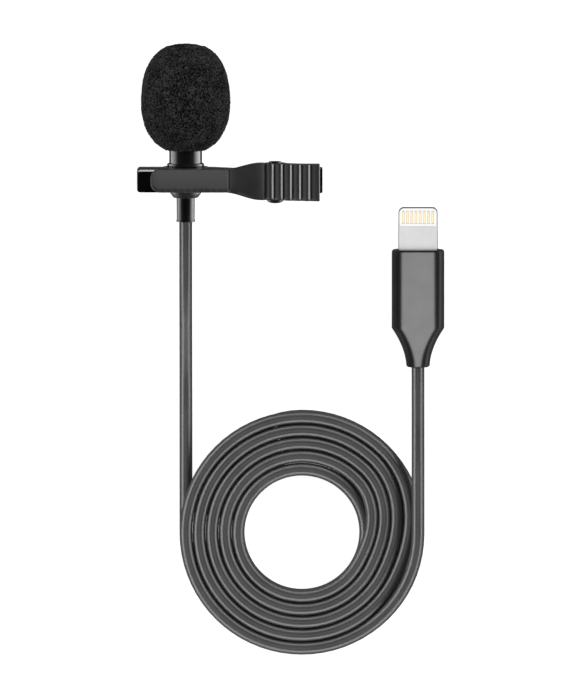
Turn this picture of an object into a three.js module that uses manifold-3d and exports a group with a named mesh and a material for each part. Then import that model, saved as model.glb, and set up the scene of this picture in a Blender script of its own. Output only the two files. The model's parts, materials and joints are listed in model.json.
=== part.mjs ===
// Lavalier microphone with foam windscreen, spring clip, coiled cord and phone plug.
// Millimetres, +Z up. The set lies on a surface at Z = 0: the microphone's axis runs along Y,
// with the foam towards +Y and the cord leaving towards -Y, and the clip's grip points to +X.
import * as THREE from 'three';
import { mergeVertices } from 'three/addons/utils/BufferGeometryUtils.js';
import Module from 'manifold-3d';

const wasm = await Module();
wasm.setup();

// ---------------------------------------------------------------- driving dimensions
const ROUND_SIDES = 32; // facets of the larger round pieces
const SMALL_SIDES = 16; // facets of the small round pieces
const FIT = 0.05; // gap between flat faces that touch on the real object
const RUNNING = 0.1; // radial gap of a pin in its hole

// microphone, on an axis along Y
const FOAM_RADIUS = 7.65;
const MIC_X = -7.5;
const AXIS_Z = FOAM_RADIUS; // the foam rests on the surface
const FOAM_TOP = 13.415;
const FOAM_WIDEST = 3.18;
const FOAM_BOTTOM = -4.7;
const BODY_RADIUS = 2.8;
const BODY_BORE = 2.35;
const BODY_TOP = 3.0;
const BODY_BOTTOM = -11.82;
const FLANGE_RADIUS = 3.15;
const FLANGE_HEIGHT = 0.5;
const GRILLE_HEIGHT = 3.2;
const GRILLE_WALL = 0.4;
const TAIL_RADIUS = 2.65;
const TAIL_END_RADIUS = 2.05;
const TAIL_END = -12.95;
const RELIEF_RADIUS = 1.575;
const RELIEF_END = -17.08;

// clip, centred on CLIP_Y along the microphone
const CLIP_Y = -9.67;
const REAR_HALF = 2.05; // half the height of the rear lever
const TONGUE_HALF = 1.94;
const TONGUE_SHIFT = -0.04; // the tongue lies a little off the rear lever's middle
const CLIP_LEFT = -15.8;
const CLIP_RIGHT = 15.8;
const REAR_FACE_Z = 12.65; // inner jaw face of the rear lever
const REAR_BACK_Z = 10.25; // back of the bar behind the grip
const BLOCK_BACK_Z = 7.65; // back of the thick jaw block
const HOLDER_RADIUS = 3.9;
const HOLDER_BORE = 3.0;
const HOLDER_SLOT = 2.9; // wide enough for the cord to be pressed out
const JAW_GAP = 0.35;
const TONGUE_LEFT = -13.43;
const TONGUE_RIGHT = -0.3;
const TONGUE_THICK = 1.75;
const TONGUE_CORNER = 1.5;
const FLARE_END = 6.0;
const GRIP_HALF = 3.13;
const GRIP_RIGHT = 15.35;
const GRIP_START_Z = 16.35;
const GRIP_END_Z = 19.35;
const RIDGES = 5;
const RIDGE_FIRST_X = 7.47;
const RIDGE_PITCH = 1.555;
const SCALLOP_DEPTH = 0.4;
const CHEEK_INNER_HALF = 2.4;
const PIVOT_X = 7.74;
const PIVOT_Z = 14.0;
const PIN_RADIUS = 0.7;
const LUG_RADIUS = 1.4;
const LUG_INNER_HALF = 1.1;
const TOOTH_PITCH = 1.1;
const TOOTH_DEPTH = 0.35;

// cord and coil
const CORD_RADIUS = 1.1;
const CORD_GAP = 0.3;
const COIL_X = 12.3;
const COIL_Y = -70.6;
const OUTER_TURN_RADIUS = 19.8;
const INNER_TURN_RADIUS = 10.75;
const COIL_HEIGHT = 4.75; // two layers of turns
const LEAD_TOP_Z = 5.55; // height at which the plug's lead comes onto the coil
const COIL_STUB = 9.9; // straight stretch of each lead that belongs to the coil's outline
const MIC_LEAD = [
  [MIC_X, RELIEF_END - CORD_GAP, AXIS_Z],
  [MIC_X, -21, AXIS_Z],
  [MIC_X, -26, 7.35],
  [MIC_X, -31.5, 6.2],
  [MIC_X, -37.5, 4.1],
  [MIC_X, -43.5, 2.2],
  [MIC_X, -49, 1.35],
  [MIC_X, -54, CORD_RADIUS],
  [MIC_X, COIL_Y + COIL_STUB + CORD_GAP, CORD_RADIUS],
];

// phone plug, lying flat
const PLUG_X = COIL_X + OUTER_TURN_RADIUS;
const PLUG_HALF_WIDTH = 4.485;
const PLUG_HALF_THICK = 2.6;
const PLUG_TOP = -22.15;
const PLUG_SHOULDER = -35.3;
const PLUG_END = -42.27;
const PLUG_END_RADIUS = 2.0;
const PLUG_CORNER = 1.4;
const TAPER_POWER = 1.85; // how fast the taper narrows behind the shoulder
const PLUG_WALL = 0.8;
const TAB_HALF_WIDTH = 3.35;
const TAB_THICK = 1.5;
const TAB_TIP = -14.92;
const TAB_ROOT = -26.5;
const WINDOW_TOP = -15.12;
const WINDOW_BOTTOM = -18.15;
const WINDOW_HALF_WIDTH = 3.12;
const TAB_CORNER = 0.9;
const WINDOW_CORNER = 0.7;
const CONTACTS = 8;
const CONTACT_PITCH = 0.717;
const CONTACT_WIDTH = 0.42;
const CONTACT_LENGTH = 2.2;
const CONTACT_GAP = 0.03;
const PLUG_LEAD = [
  [PLUG_X, PLUG_END - CORD_GAP, PLUG_HALF_THICK],
  [PLUG_X, -46, 2.8],
  [PLUG_X, -50, 3.5],
  [PLUG_X, -54, 4.5],
  [PLUG_X, -58, 5.35],
  [PLUG_X, COIL_Y + COIL_STUB + CORD_GAP, LEAD_TOP_Z],
];

// ---------------------------------------------------------------- geometry helpers
function signedVolume(geometry) {
  const index = geometry.index.array;
  const corner = [new THREE.Vector3(), new THREE.Vector3(), new THREE.Vector3()];
  let volume = 0;
  for (let i = 0; i < index.length; i += 3) {
    corner.forEach((v, k) => v.fromBufferAttribute(geometry.attributes.position, index[i + k]));
    volume += corner[0].dot(corner[1].cross(corner[2])) / 6;
  }
  return volume;
}

// One closed, indexed skin with shared corners, no flat triangles and its faces pointing out.
function tidy(source) {
  const geometry = source.clone();
  geometry.deleteAttribute('normal');
  geometry.deleteAttribute('uv');
  const merged = mergeVertices(geometry, 1e-4);
  const index = merged.index.array;
  const kept = [];
  for (let i = 0; i < index.length; i += 3) {
    const [a, b, c] = [index[i], index[i + 1], index[i + 2]];
    if (a !== b && b !== c && c !== a) kept.push(a, b, c);
  }
  merged.setIndex(kept);
  if (signedVolume(merged) < 0) {
    for (let i = 0; i < kept.length; i += 3) [kept[i], kept[i + 1]] = [kept[i + 1], kept[i]];
    merged.setIndex(kept);
  }
  return merged;
}

function toSolid(geometry) {
  const skin = tidy(geometry);
  const vertProperties = new Float32Array(skin.attributes.position.array);
  const triVerts = new Uint32Array(skin.index.array);
  return new wasm.Manifold(new wasm.Mesh({ numProp: 3, vertProperties, triVerts }));
}

function toGeometry(solid) {
  const mesh = solid.getMesh();
  const geometry = new THREE.BufferGeometry();
  geometry.setAttribute('position', new THREE.BufferAttribute(mesh.vertProperties, 3));
  geometry.setIndex(new THREE.BufferAttribute(mesh.triVerts, 1));
  return geometry;
}

function lathe(profile, sides = ROUND_SIDES) {
  const points = profile.map(([radius, y]) => new THREE.Vector2(radius, y));
  return tidy(new THREE.LatheGeometry(points, sides));
}

// A washer or tube about Y: closed rectangle profile.
function tube(inner, outer, low, high, sides = ROUND_SIDES) {
  return lathe([[inner, low], [outer, low], [outer, high], [inner, high], [inner, low]], sides);
}

function disc(radius, low, high, sides = ROUND_SIDES) {
  return lathe([[0, low], [radius, low], [radius, high], [0, high]], sides);
}

function box(width, depth, height, x, y, z) {
  return new THREE.BoxGeometry(width, depth, height).translate(x, y, z);
}

function shapeOf(points) {
  return new THREE.Shape(points.map(([x, y]) => new THREE.Vector2(x, y)));
}

// An outline in X and Z, swept along Y to both sides of middleY.
function slabAlongY(outline, halfWidth, middleY, curveSegments = 8) {
  const shape = Array.isArray(outline) ? shapeOf(outline) : outline;
  const geometry = new THREE.ExtrudeGeometry(shape, {
    depth: 2 * halfWidth,
    bevelEnabled: false,
    curveSegments,
  });
  return geometry.rotateX(Math.PI / 2).translate(0, middleY + halfWidth, 0);
}

// An outline in X and Y, swept along Z.
function slabAlongZ(outline, low, high, curveSegments = 8) {
  const shape = Array.isArray(outline) ? shapeOf(outline) : outline;
  const geometry = new THREE.ExtrudeGeometry(shape, {
    depth: high - low,
    bevelEnabled: false,
    curveSegments,
  });
  return geometry.translate(0, 0, low);
}

function cylinderAlongY(radius, halfLength, x, y, z, sides = SMALL_SIDES) {
  return new THREE.CylinderGeometry(radius, radius, 2 * halfLength, sides).translate(x, y, z);
}

function roundSection(radius, sides) {
  const points = [];
  for (let i = 0; i < sides; i += 1) {
    const angle = (2 * Math.PI * i) / sides;
    points.push([radius * Math.cos(angle), radius * Math.sin(angle)]);
  }
  return shapeOf(points);
}

function tubeAlong(curve, radius, sides, steps) {
  return tidy(new THREE.ExtrudeGeometry(roundSection(radius, sides), {
    steps,
    extrudePath: curve,
    bevelEnabled: false,
  }));
}

// One ring of a loft: a rectangle with round corners, in X and Z.
function roundedRing(section, perCorner) {
  const { y, halfWidth, halfThick, corner } = section;
  const ring = [];
  for (let quarter = 0; quarter < 4; quarter += 1) {
    const signX = quarter === 0 || quarter === 3 ? 1 : -1;
    const signZ = quarter < 2 ? 1 : -1;
    for (let i = 0; i <= perCorner; i += 1) {
      const angle = (quarter + i / perCorner) * (Math.PI / 2);
      ring.push(new THREE.Vector3(
        signX * (halfWidth - corner) + corner * Math.cos(angle),
        y,
        signZ * (halfThick - corner) + corner * Math.sin(angle),
      ));
    }
  }
  return ring;
}

function loft(sections, perCorner = 4) {
  const rings = sections.map((section) => roundedRing(section, perCorner));
  const count = rings[0].length;
  const positions = rings.flat().flatMap((p) => [p.x, p.y, p.z]);
  const index = [];
  for (let r = 0; r + 1 < rings.length; r += 1) {
    for (let i = 0; i < count; i += 1) {
      const next = (i + 1) % count;
      const [a, b] = [r * count + i, r * count + next];
      index.push(a, b, b + count, a, b + count, a + count);
    }
  }
  const last = (rings.length - 1) * count;
  for (let i = 1; i + 1 < count; i += 1) {
    index.push(0, i + 1, i, last, last + i, last + i + 1);
  }
  const geometry = new THREE.BufferGeometry();
  geometry.setAttribute('position', new THREE.Float32BufferAttribute(positions, 3));
  geometry.setIndex(index);
  return tidy(geometry);
}

// ---------------------------------------------------------------- materials
function finish(color, roughness, metalness = 0) {
  return new THREE.MeshStandardMaterial({ color, roughness, metalness });
}

const FOAM = finish(0x26272a, 0.95);
const BLACK_METAL = finish(0x101113, 0.25, 0.6);
const BLACK_PLASTIC = finish(0x2a2b2d, 0.45);
const RUBBER = finish(0x1c1d1f, 0.6);
const CORD = finish(0x3a3b3d, 0.5);
const STEEL = finish(0xb9bcc0, 0.3, 1);
const WHITE_PLASTIC = finish(0xf2f2ee, 0.4);
const GOLD = finish(0xe6c98a, 0.3, 1);
const BOARD = finish(0x1f5a38, 0.5);
const COPPER = finish(0xb0693a, 0.4, 1);
const ALUMINIUM = finish(0xc9cbcd, 0.35, 1);
const ANODISED = finish(0x2b2c2f, 0.35, 0.7);

const object = new THREE.Group();

function addPart(parent, name, geometry, material) {
  const mesh = new THREE.Mesh(tidy(geometry), material);
  mesh.name = name;
  parent.add(mesh);
}

// ---------------------------------------------------------------- microphone
const UPPER_HEIGHT = FOAM_TOP - FOAM_WIDEST;
const UPPER_POWER = 2.4;
const LOWER_HEIGHT = 8.6;
const LOWER_POWER = 2.2;

// Radius of the foam at a height: a rounded egg that is cut flat at its neck.
function foamRadius(y) {
  const upper = y > FOAM_WIDEST;
  const power = upper ? UPPER_POWER : LOWER_POWER;
  const share = Math.abs(y - FOAM_WIDEST) / (upper ? UPPER_HEIGHT : LOWER_HEIGHT);
  return FOAM_RADIUS * Math.max(0, 1 - share ** power) ** (1 / power);
}

function windscreen() {
  const rows = 14;
  const boreRadius = BODY_RADIUS + 0.3;
  const boreTop = BODY_TOP + GRILLE_HEIGHT + 0.6;
  const profile = [[0, FOAM_TOP]];
  for (let i = 1; i <= rows; i += 1) {
    const y = FOAM_WIDEST + UPPER_HEIGHT * Math.cos((Math.PI / 2) * (i / rows));
    profile.push([foamRadius(y), y]);
  }
  const lowerRows = 7;
  for (let i = 1; i <= lowerRows; i += 1) {
    const y = FOAM_WIDEST + (FOAM_BOTTOM - FOAM_WIDEST) * (i / lowerRows);
    profile.push([foamRadius(y), y]);
  }
  profile.push([boreRadius, FOAM_BOTTOM], [boreRadius, boreTop], [0, boreTop]);
  return lathe(profile);
}

function micBody() {
  const flangeLow = CLIP_Y + REAR_HALF + FIT;
  const flangeHigh = flangeLow + FLANGE_HEIGHT;
  const fillet = 0.15;
  return lathe([
    [BODY_BORE, BODY_BOTTOM],
    [BODY_RADIUS, BODY_BOTTOM],
    [BODY_RADIUS, flangeLow],
    [FLANGE_RADIUS, flangeLow],
    [FLANGE_RADIUS, flangeHigh],
    [BODY_RADIUS + fillet, flangeHigh],
    [BODY_RADIUS, flangeHigh + fillet],
    [BODY_RADIUS, BODY_TOP],
    [BODY_BORE, BODY_TOP],
    [BODY_BORE, BODY_BOTTOM],
  ]);
}

function headGrille() {
  const low = BODY_TOP + FIT;
  const high = BODY_TOP + GRILLE_HEIGHT;
  const inner = BODY_RADIUS - GRILLE_WALL;
  const edge = 0.5;
  const cap = toSolid(lathe([
    [0, high],
    [BODY_RADIUS - edge, high],
    [BODY_RADIUS, high - edge],
    [BODY_RADIUS, low],
    [inner, low],
    [inner, high - GRILLE_WALL],
    [0, high - GRILLE_WALL],
  ]));
  const holes = 6;
  const holeRadius = 0.35;
  const ringRadius = 1.35;
  let drilled = cap.subtract(toSolid(cylinderAlongY(holeRadius, 1, 0, high, 0, 10)));
  for (let i = 0; i < holes; i += 1) {
    const angle = (2 * Math.PI * i) / holes;
    const [x, z] = [ringRadius * Math.cos(angle), ringRadius * Math.sin(angle)];
    drilled = drilled.subtract(toSolid(cylinderAlongY(holeRadius, 1, x, high, z, 10)));
  }
  return toGeometry(drilled);
}

function bodyTail() {
  const cordBore = 1.4;
  const shoulder = BODY_BOTTOM - FIT;
  const spigotTop = BODY_BOTTOM + 1.5;
  return lathe([
    [cordBore, TAIL_END],
    [TAIL_END_RADIUS - 0.15, TAIL_END],
    [TAIL_END_RADIUS, TAIL_END + 0.15],
    [TAIL_RADIUS - 0.15, shoulder - 0.45],
    [TAIL_RADIUS, shoulder - 0.2],
    [TAIL_RADIUS, shoulder],
    [BODY_BORE - RUNNING, shoulder],
    [BODY_BORE - RUNNING, spigotTop],
    [cordBore, spigotTop],
    [cordBore, TAIL_END],
  ]);
}

function strainRelief() {
  const stemRadius = 1.3;
  const edge = 0.12;
  return lathe([
    [0, RELIEF_END],
    [RELIEF_RADIUS - edge, RELIEF_END],
    [RELIEF_RADIUS, RELIEF_END + edge],
    [RELIEF_RADIUS, TAIL_END - FIT],
    [stemRadius, TAIL_END - FIT],
    [stemRadius, BODY_BOTTOM + 0.8],
    [0, BODY_BOTTOM + 0.8],
  ]);
}

function addCapsule(parent) {
  const canRadius = 1.95;
  const canWall = 0.2;
  const inside = canRadius - canWall - FIT;
  const soundHole = 0.5;
  const top = BODY_TOP - 0.1;
  const bottom = top - 3;
  const canTop = top - canWall;
  const filmTop = canTop - 0.12;
  const film = 0.06;
  const filmFrame = 0.3;
  const filmBottom = canTop - 0.45;
  const spacerBottom = canTop - 0.6;
  const plateTop = spacerBottom - FIT;
  const plateBottom = plateTop - 0.3;
  const boardLow = bottom + 0.1;
  const boardHigh = bottom + 0.5;
  const transistor = { width: 1.1, height: 0.5, depth: 1.3 };
  const ring = (name, inner, outer, low, high, material) => {
    addPart(parent, name, tube(inner, outer, low, high), material);
  };
  addPart(parent, 'capsule_can', lathe([
    [soundHole, top],
    [canRadius, top],
    [canRadius, bottom],
    [canRadius - canWall, bottom],
    [canRadius - canWall, canTop],
    [soundHole, canTop],
    [soundHole, top],
  ]), ALUMINIUM);
  addPart(parent, 'diaphragm', lathe([
    [0, filmTop],
    [inside, filmTop],
    [inside, filmBottom],
    [inside - filmFrame, filmBottom],
    [inside - filmFrame, filmTop - film],
    [0, filmTop - film],
  ]), STEEL);
  ring('spacer_ring', inside - 0.35, inside, spacerBottom, filmBottom - FIT, WHITE_PLASTIC);
  addPart(parent, 'backplate', disc(inside, plateBottom, plateTop), COPPER);
  ring('backplate_carrier', inside - 0.45, inside, boardHigh + FIT, plateBottom - FIT, WHITE_PLASTIC);
  addPart(parent, 'capsule_board', disc(inside, boardLow, boardHigh), BOARD);
  const { width, height, depth } = transistor;
  const transistorY = boardHigh + FIT + height / 2;
  addPart(parent, 'preamp_transistor', box(width, height, depth, 0, transistorY, 0), BLACK_PLASTIC);
  ring('capsule_boot', canRadius + FIT, BODY_BORE - FIT, bottom - 0.3, top - 0.1, RUBBER);
  const feltRadius = 2.1;
  const feltLow = top + 0.2;
  addPart(parent, 'dust_felt', disc(feltRadius, feltLow, feltLow + 0.5), FOAM);
  return bottom;
}

function capsuleWire(side, start, end) {
  const offset = 0.6;
  const curve = new THREE.CatmullRomCurve3([
    new THREE.Vector3(side * offset, start, 0),
    new THREE.Vector3(side * offset * 1.6, start - 2.2, 0.4),
    new THREE.Vector3(side * offset * 1.2, (start + end) / 2, -0.5),
    new THREE.Vector3(side * offset, end + 1.5, 0.1),
    new THREE.Vector3(side * offset, end, 0),
  ]);
  return tubeAlong(curve, 0.28, 6, 14);
}

function addMicrophone() {
  const axis = new THREE.Group();
  axis.position.set(MIC_X, 0, AXIS_Z);
  object.add(axis);
  addPart(axis, 'windscreen', windscreen(), FOAM);
  addPart(axis, 'mic_body', micBody(), BLACK_METAL);
  addPart(axis, 'head_grille', headGrille(), BLACK_METAL);
  addPart(axis, 'body_tail', bodyTail(), BLACK_PLASTIC);
  addPart(axis, 'strain_relief', strainRelief(), RUBBER);
  const capsuleBottom = addCapsule(axis);
  const crimpTop = BODY_BOTTOM + 3;
  addPart(axis, 'cord_crimp', tube(0.4, BODY_BORE - RUNNING, crimpTop - 1.2, crimpTop, SMALL_SIDES), STEEL);
  const wireTop = capsuleBottom - FIT;
  const wireEnd = crimpTop + FIT;
  addPart(axis, 'signal_wire', capsuleWire(1, wireTop, wireEnd), COPPER);
  addPart(axis, 'ground_wire', capsuleWire(-1, wireTop, wireEnd), RUBBER);
}

// ---------------------------------------------------------------- clip
// Small V-shaped grooves across a jaw face; direction is +1 where they open upwards.
function toothGrooves(faceZ, direction) {
  const half = 0.35;
  const grooves = [];
  for (let x = TONGUE_LEFT + 1.2; x < TONGUE_RIGHT - 1; x += TOOTH_PITCH) {
    const groove = [
      [x - half, faceZ + direction * 0.1],
      [x, faceZ - direction * TOOTH_DEPTH],
      [x + half, faceZ + direction * 0.1],
    ];
    grooves.push(toSolid(slabAlongY(groove, REAR_HALF + 1, CLIP_Y)));
  }
  return grooves;
}

function addScallops(shape, from, to, depth) {
  const middle = new THREE.Vector2((from[0] + to[0]) / 2, (from[1] + to[1]) / 2);
  shape.quadraticCurveTo(middle.x, middle.y + 2 * depth, to[0], to[1]);
}

function rearLeverProfile() {
  const tipRound = 0.5;
  const gripBackZ = REAR_BACK_Z - 0.5;
  const blockEnd = MIC_X + HOLDER_RADIUS - 0.2;
  const barStart = 1.5;
  const shape = new THREE.Shape();
  shape.moveTo(CLIP_LEFT, BLOCK_BACK_Z + tipRound);
  shape.quadraticCurveTo(CLIP_LEFT, BLOCK_BACK_Z, CLIP_LEFT + tipRound, BLOCK_BACK_Z);
  shape.lineTo(blockEnd, BLOCK_BACK_Z);
  shape.bezierCurveTo(blockEnd + 1.2, BLOCK_BACK_Z, barStart - 3.1, REAR_BACK_Z, barStart, REAR_BACK_Z);
  shape.lineTo(RIDGE_FIRST_X, REAR_BACK_Z);
  for (let i = 0; i < RIDGES; i += 1) {
    const [fromX, toX] = [RIDGE_FIRST_X + i * RIDGE_PITCH, RIDGE_FIRST_X + (i + 1) * RIDGE_PITCH];
    const drop = (gripBackZ - REAR_BACK_Z) / RIDGES;
    const [fromZ, toZ] = [REAR_BACK_Z + i * drop, REAR_BACK_Z + (i + 1) * drop];
    addScallops(shape, [fromX, fromZ], [toX, toZ], 0.3);
  }
  shape.lineTo(CLIP_RIGHT, gripBackZ);
  shape.lineTo(CLIP_RIGHT, REAR_FACE_Z);
  shape.lineTo(CLIP_LEFT + tipRound, REAR_FACE_Z);
  shape.quadraticCurveTo(CLIP_LEFT, REAR_FACE_Z, CLIP_LEFT, REAR_FACE_Z - tipRound);
  shape.closePath();
  return shape;
}

function rearLeverPlan() {
  const gripHalf = REAR_HALF + 0.1;
  const [widensFrom, widensTo] = [8, 10];
  const shape = new THREE.Shape();
  shape.moveTo(CLIP_LEFT, CLIP_Y - REAR_HALF);
  shape.lineTo(widensFrom, CLIP_Y - REAR_HALF);
  shape.lineTo(widensTo, CLIP_Y - gripHalf);
  shape.lineTo(CLIP_RIGHT, CLIP_Y - gripHalf);
  shape.lineTo(CLIP_RIGHT, CLIP_Y + gripHalf);
  shape.lineTo(widensTo, CLIP_Y + gripHalf);
  shape.lineTo(widensFrom, CLIP_Y + REAR_HALF);
  shape.lineTo(CLIP_LEFT, CLIP_Y + REAR_HALF);
  shape.closePath();
  return shape;
}

function pivotLugs() {
  const base = 1.6;
  const shape = new THREE.Shape();
  shape.moveTo(PIVOT_X - base, REAR_FACE_Z - 0.5);
  shape.lineTo(PIVOT_X + base, REAR_FACE_Z - 0.5);
  shape.lineTo(PIVOT_X + LUG_RADIUS, PIVOT_Z);
  shape.absarc(PIVOT_X, PIVOT_Z, LUG_RADIUS, 0, Math.PI, false);
  shape.closePath();
  const block = toSolid(slabAlongY(shape, REAR_HALF, CLIP_Y));
  const springSpace = box(6, 2 * LUG_INNER_HALF, 6, PIVOT_X, CLIP_Y, REAR_FACE_Z + 3);
  return block.subtract(toSolid(springSpace));
}

function rearLever() {
  const holder = toSolid(cylinderAlongY(HOLDER_RADIUS, REAR_HALF, MIC_X, CLIP_Y, AXIS_Z, ROUND_SIDES));
  const bore = toSolid(cylinderAlongY(HOLDER_BORE, REAR_HALF + 1, MIC_X, CLIP_Y, AXIS_Z, ROUND_SIDES));
  const slotDepth = 2 * HOLDER_RADIUS;
  const slot = toSolid(box(HOLDER_SLOT, 6, slotDepth, MIC_X, CLIP_Y, AXIS_Z - slotDepth / 2));
  const pinHole = toSolid(cylinderAlongY(PIN_RADIUS + RUNNING, 4, PIVOT_X, CLIP_Y, PIVOT_Z));
  const plan = toSolid(slabAlongZ(rearLeverPlan(), 0, 2 * PIVOT_Z));
  let lever = toSolid(slabAlongY(rearLeverProfile(), REAR_HALF + 1, CLIP_Y, 4));
  lever = lever.intersect(plan).add(holder).add(pivotLugs());
  lever = lever.subtract(bore).subtract(slot).subtract(pinHole);
  for (const groove of toothGrooves(REAR_FACE_Z, 1)) lever = lever.subtract(groove);
  return toGeometry(lever);
}

// Height of the grip's ridge line above the surface at x.
function gripLine(x) {
  const slope = (GRIP_END_Z - GRIP_START_Z) / (GRIP_RIGHT - FLARE_END);
  return GRIP_START_Z + slope * (x - FLARE_END);
}

function frontLeverProfile() {
  const inner = REAR_FACE_Z + JAW_GAP;
  const outer = inner + TONGUE_THICK;
  const tip = 0.5;
  const skirtZ = 15.6;
  const cheekRadius = 1.9;
  const cheekLeft = 5.3;
  const shape = new THREE.Shape();
  shape.moveTo(TONGUE_LEFT, inner + tip);
  shape.quadraticCurveTo(TONGUE_LEFT, inner, TONGUE_LEFT + tip, inner);
  shape.lineTo(cheekLeft, inner);
  shape.lineTo(PIVOT_X - cheekRadius, PIVOT_Z - 0.6);
  shape.absarc(PIVOT_X, PIVOT_Z, cheekRadius, Math.PI * 1.15, Math.PI * 1.8, false);
  shape.lineTo(GRIP_RIGHT, skirtZ);
  shape.lineTo(GRIP_RIGHT, GRIP_END_Z);
  let from = [GRIP_RIGHT, GRIP_END_Z];
  for (let i = RIDGES - 1; i >= -1; i -= 1) {
    const x = i < 0 ? FLARE_END : RIDGE_FIRST_X + i * RIDGE_PITCH;
    const to = [x, gripLine(x)];
    addScallops(shape, from, to, -SCALLOP_DEPTH);
    from = to;
  }
  const bend = 2.4; // reach of the flare's two bends
  shape.bezierCurveTo(FLARE_END - bend, GRIP_START_Z - 0.65, TONGUE_RIGHT + bend, outer, TONGUE_RIGHT, outer);
  shape.lineTo(TONGUE_LEFT + tip, outer);
  shape.quadraticCurveTo(TONGUE_LEFT, outer, TONGUE_LEFT, outer - tip);
  shape.closePath();
  return shape;
}

function frontLeverPlan() {
  const shape = new THREE.Shape();
  const corner = TONGUE_CORNER;
  const side = (sign) => CLIP_Y + TONGUE_SHIFT + sign * TONGUE_HALF;
  const grip = (sign) => CLIP_Y + sign * GRIP_HALF;
  const bendIn = TONGUE_RIGHT + 2.3;
  const bendOut = FLARE_END - 3.4;
  shape.moveTo(TONGUE_LEFT, side(-1) + corner);
  shape.quadraticCurveTo(TONGUE_LEFT, side(-1), TONGUE_LEFT + corner, side(-1));
  shape.lineTo(TONGUE_RIGHT, side(-1));
  shape.bezierCurveTo(bendIn, side(-1) - 0.15, bendOut, grip(-1), FLARE_END, grip(-1));
  shape.lineTo(GRIP_RIGHT, grip(-1));
  shape.lineTo(GRIP_RIGHT, grip(1));
  shape.lineTo(FLARE_END, grip(1));
  shape.bezierCurveTo(bendOut, grip(1), bendIn, side(1) + 0.15, TONGUE_RIGHT, side(1));
  shape.lineTo(TONGUE_LEFT + corner, side(1));
  shape.quadraticCurveTo(TONGUE_LEFT, side(1), TONGUE_LEFT, side(1) - corner);
  shape.closePath();
  return shape;
}

// The space under the grip that the rear lever, its lugs and the spring take up.
function gripChannel() {
  const left = 4.4;
  const slopeEnd = 12.2;
  const clear = 1.63;
  const slope = (GRIP_END_Z - GRIP_START_Z) / (GRIP_RIGHT - FLARE_END);
  const underside = (x) => PIVOT_Z + clear + slope * (x - PIVOT_X);
  const stopZ = underside(slopeEnd);
  return slabAlongY([
    [left, REAR_BACK_Z],
    [left, underside(left)],
    [slopeEnd, stopZ],
    [GRIP_RIGHT + 1, stopZ],
    [GRIP_RIGHT + 1, REAR_BACK_Z],
  ].reverse(), CHEEK_INNER_HALF, CLIP_Y);
}

function frontLever() {
  const plan = toSolid(slabAlongZ(frontLeverPlan(), REAR_BACK_Z, 2 * PIVOT_Z, 6));
  const pinHole = toSolid(cylinderAlongY(PIN_RADIUS + RUNNING, 5, PIVOT_X, CLIP_Y, PIVOT_Z));
  let lever = toSolid(slabAlongY(frontLeverProfile(), GRIP_HALF + 1, CLIP_Y, 6));
  lever = lever.intersect(plan).subtract(toSolid(gripChannel())).subtract(pinHole);
  for (const groove of toothGrooves(REAR_FACE_Z + JAW_GAP, -1)) lever = lever.subtract(groove);
  return toGeometry(lever);
}

function pivotPin() {
  const flatHead = 1.07;
  const domedHead = 1.38;
  const underHead = GRIP_HALF + FIT;
  const domeEnd = underHead + 0.6;
  const flatHeadHeight = 0.2;
  return lathe([
    [0, -domeEnd],
    [domedHead * 0.55, -domeEnd + 0.12],
    [domedHead * 0.9, -underHead - 0.35],
    [domedHead, -underHead - 0.1],
    [domedHead, -underHead],
    [PIN_RADIUS, -underHead],
    [PIN_RADIUS, underHead],
    [flatHead, underHead],
    [flatHead, underHead + flatHeadHeight],
    [0, underHead + flatHeadHeight],
  ], SMALL_SIDES).translate(PIVOT_X, CLIP_Y, PIVOT_Z);
}

// A closed-coil torsion spring with its two legs, one along each lever.
class SpringCurve extends THREE.Curve {
  constructor() {
    super();
    this.radius = 1.05;
    this.turnAngle = 2 * Math.PI * 3 + THREE.MathUtils.degToRad(162.2);
    this.width = 1.55;
    this.lowerLeg = 5.2;
    this.upperLeg = 4.1;
    this.coilLength = this.turnAngle * this.radius;
    this.total = this.lowerLeg + this.coilLength + this.upperLeg;
  }

  onCoil(angleDone) {
    const angle = -Math.PI / 2 - angleDone;
    const y = this.width * (angleDone / this.turnAngle - 0.5);
    return new THREE.Vector3(this.radius * Math.cos(angle), y, this.radius * Math.sin(angle));
  }

  getPoint(t, target = new THREE.Vector3()) {
    const done = t * this.total;
    if (done < this.lowerLeg) {
      return target.copy(this.onCoil(0)).add(new THREE.Vector3(this.lowerLeg - done, 0, 0));
    }
    if (done < this.lowerLeg + this.coilLength) {
      return target.copy(this.onCoil((done - this.lowerLeg) / this.radius));
    }
    const angle = -Math.PI / 2 - this.turnAngle;
    const along = new THREE.Vector3(Math.sin(angle), 0, -Math.cos(angle));
    const out = done - this.lowerLeg - this.coilLength;
    return target.copy(this.onCoil(this.turnAngle)).addScaledVector(along, out);
  }
}

function torsionSpring() {
  const wireRadius = 0.175;
  return tubeAlong(new SpringCurve(), wireRadius, 6, 78).translate(PIVOT_X, CLIP_Y, PIVOT_Z);
}

function addClip() {
  addPart(object, 'rear_lever', rearLever(), BLACK_PLASTIC);
  addPart(object, 'front_lever', frontLever(), BLACK_PLASTIC);
  addPart(object, 'pivot_pin', pivotPin(), BLACK_METAL);
  addPart(object, 'torsion_spring', torsionSpring(), STEEL);
}

// ---------------------------------------------------------------- cord
function lead(points, steps) {
  const curve = new THREE.CatmullRomCurve3(points.map((p) => new THREE.Vector3(...p)));
  return tubeAlong(curve, CORD_RADIUS, 8, steps);
}

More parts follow.
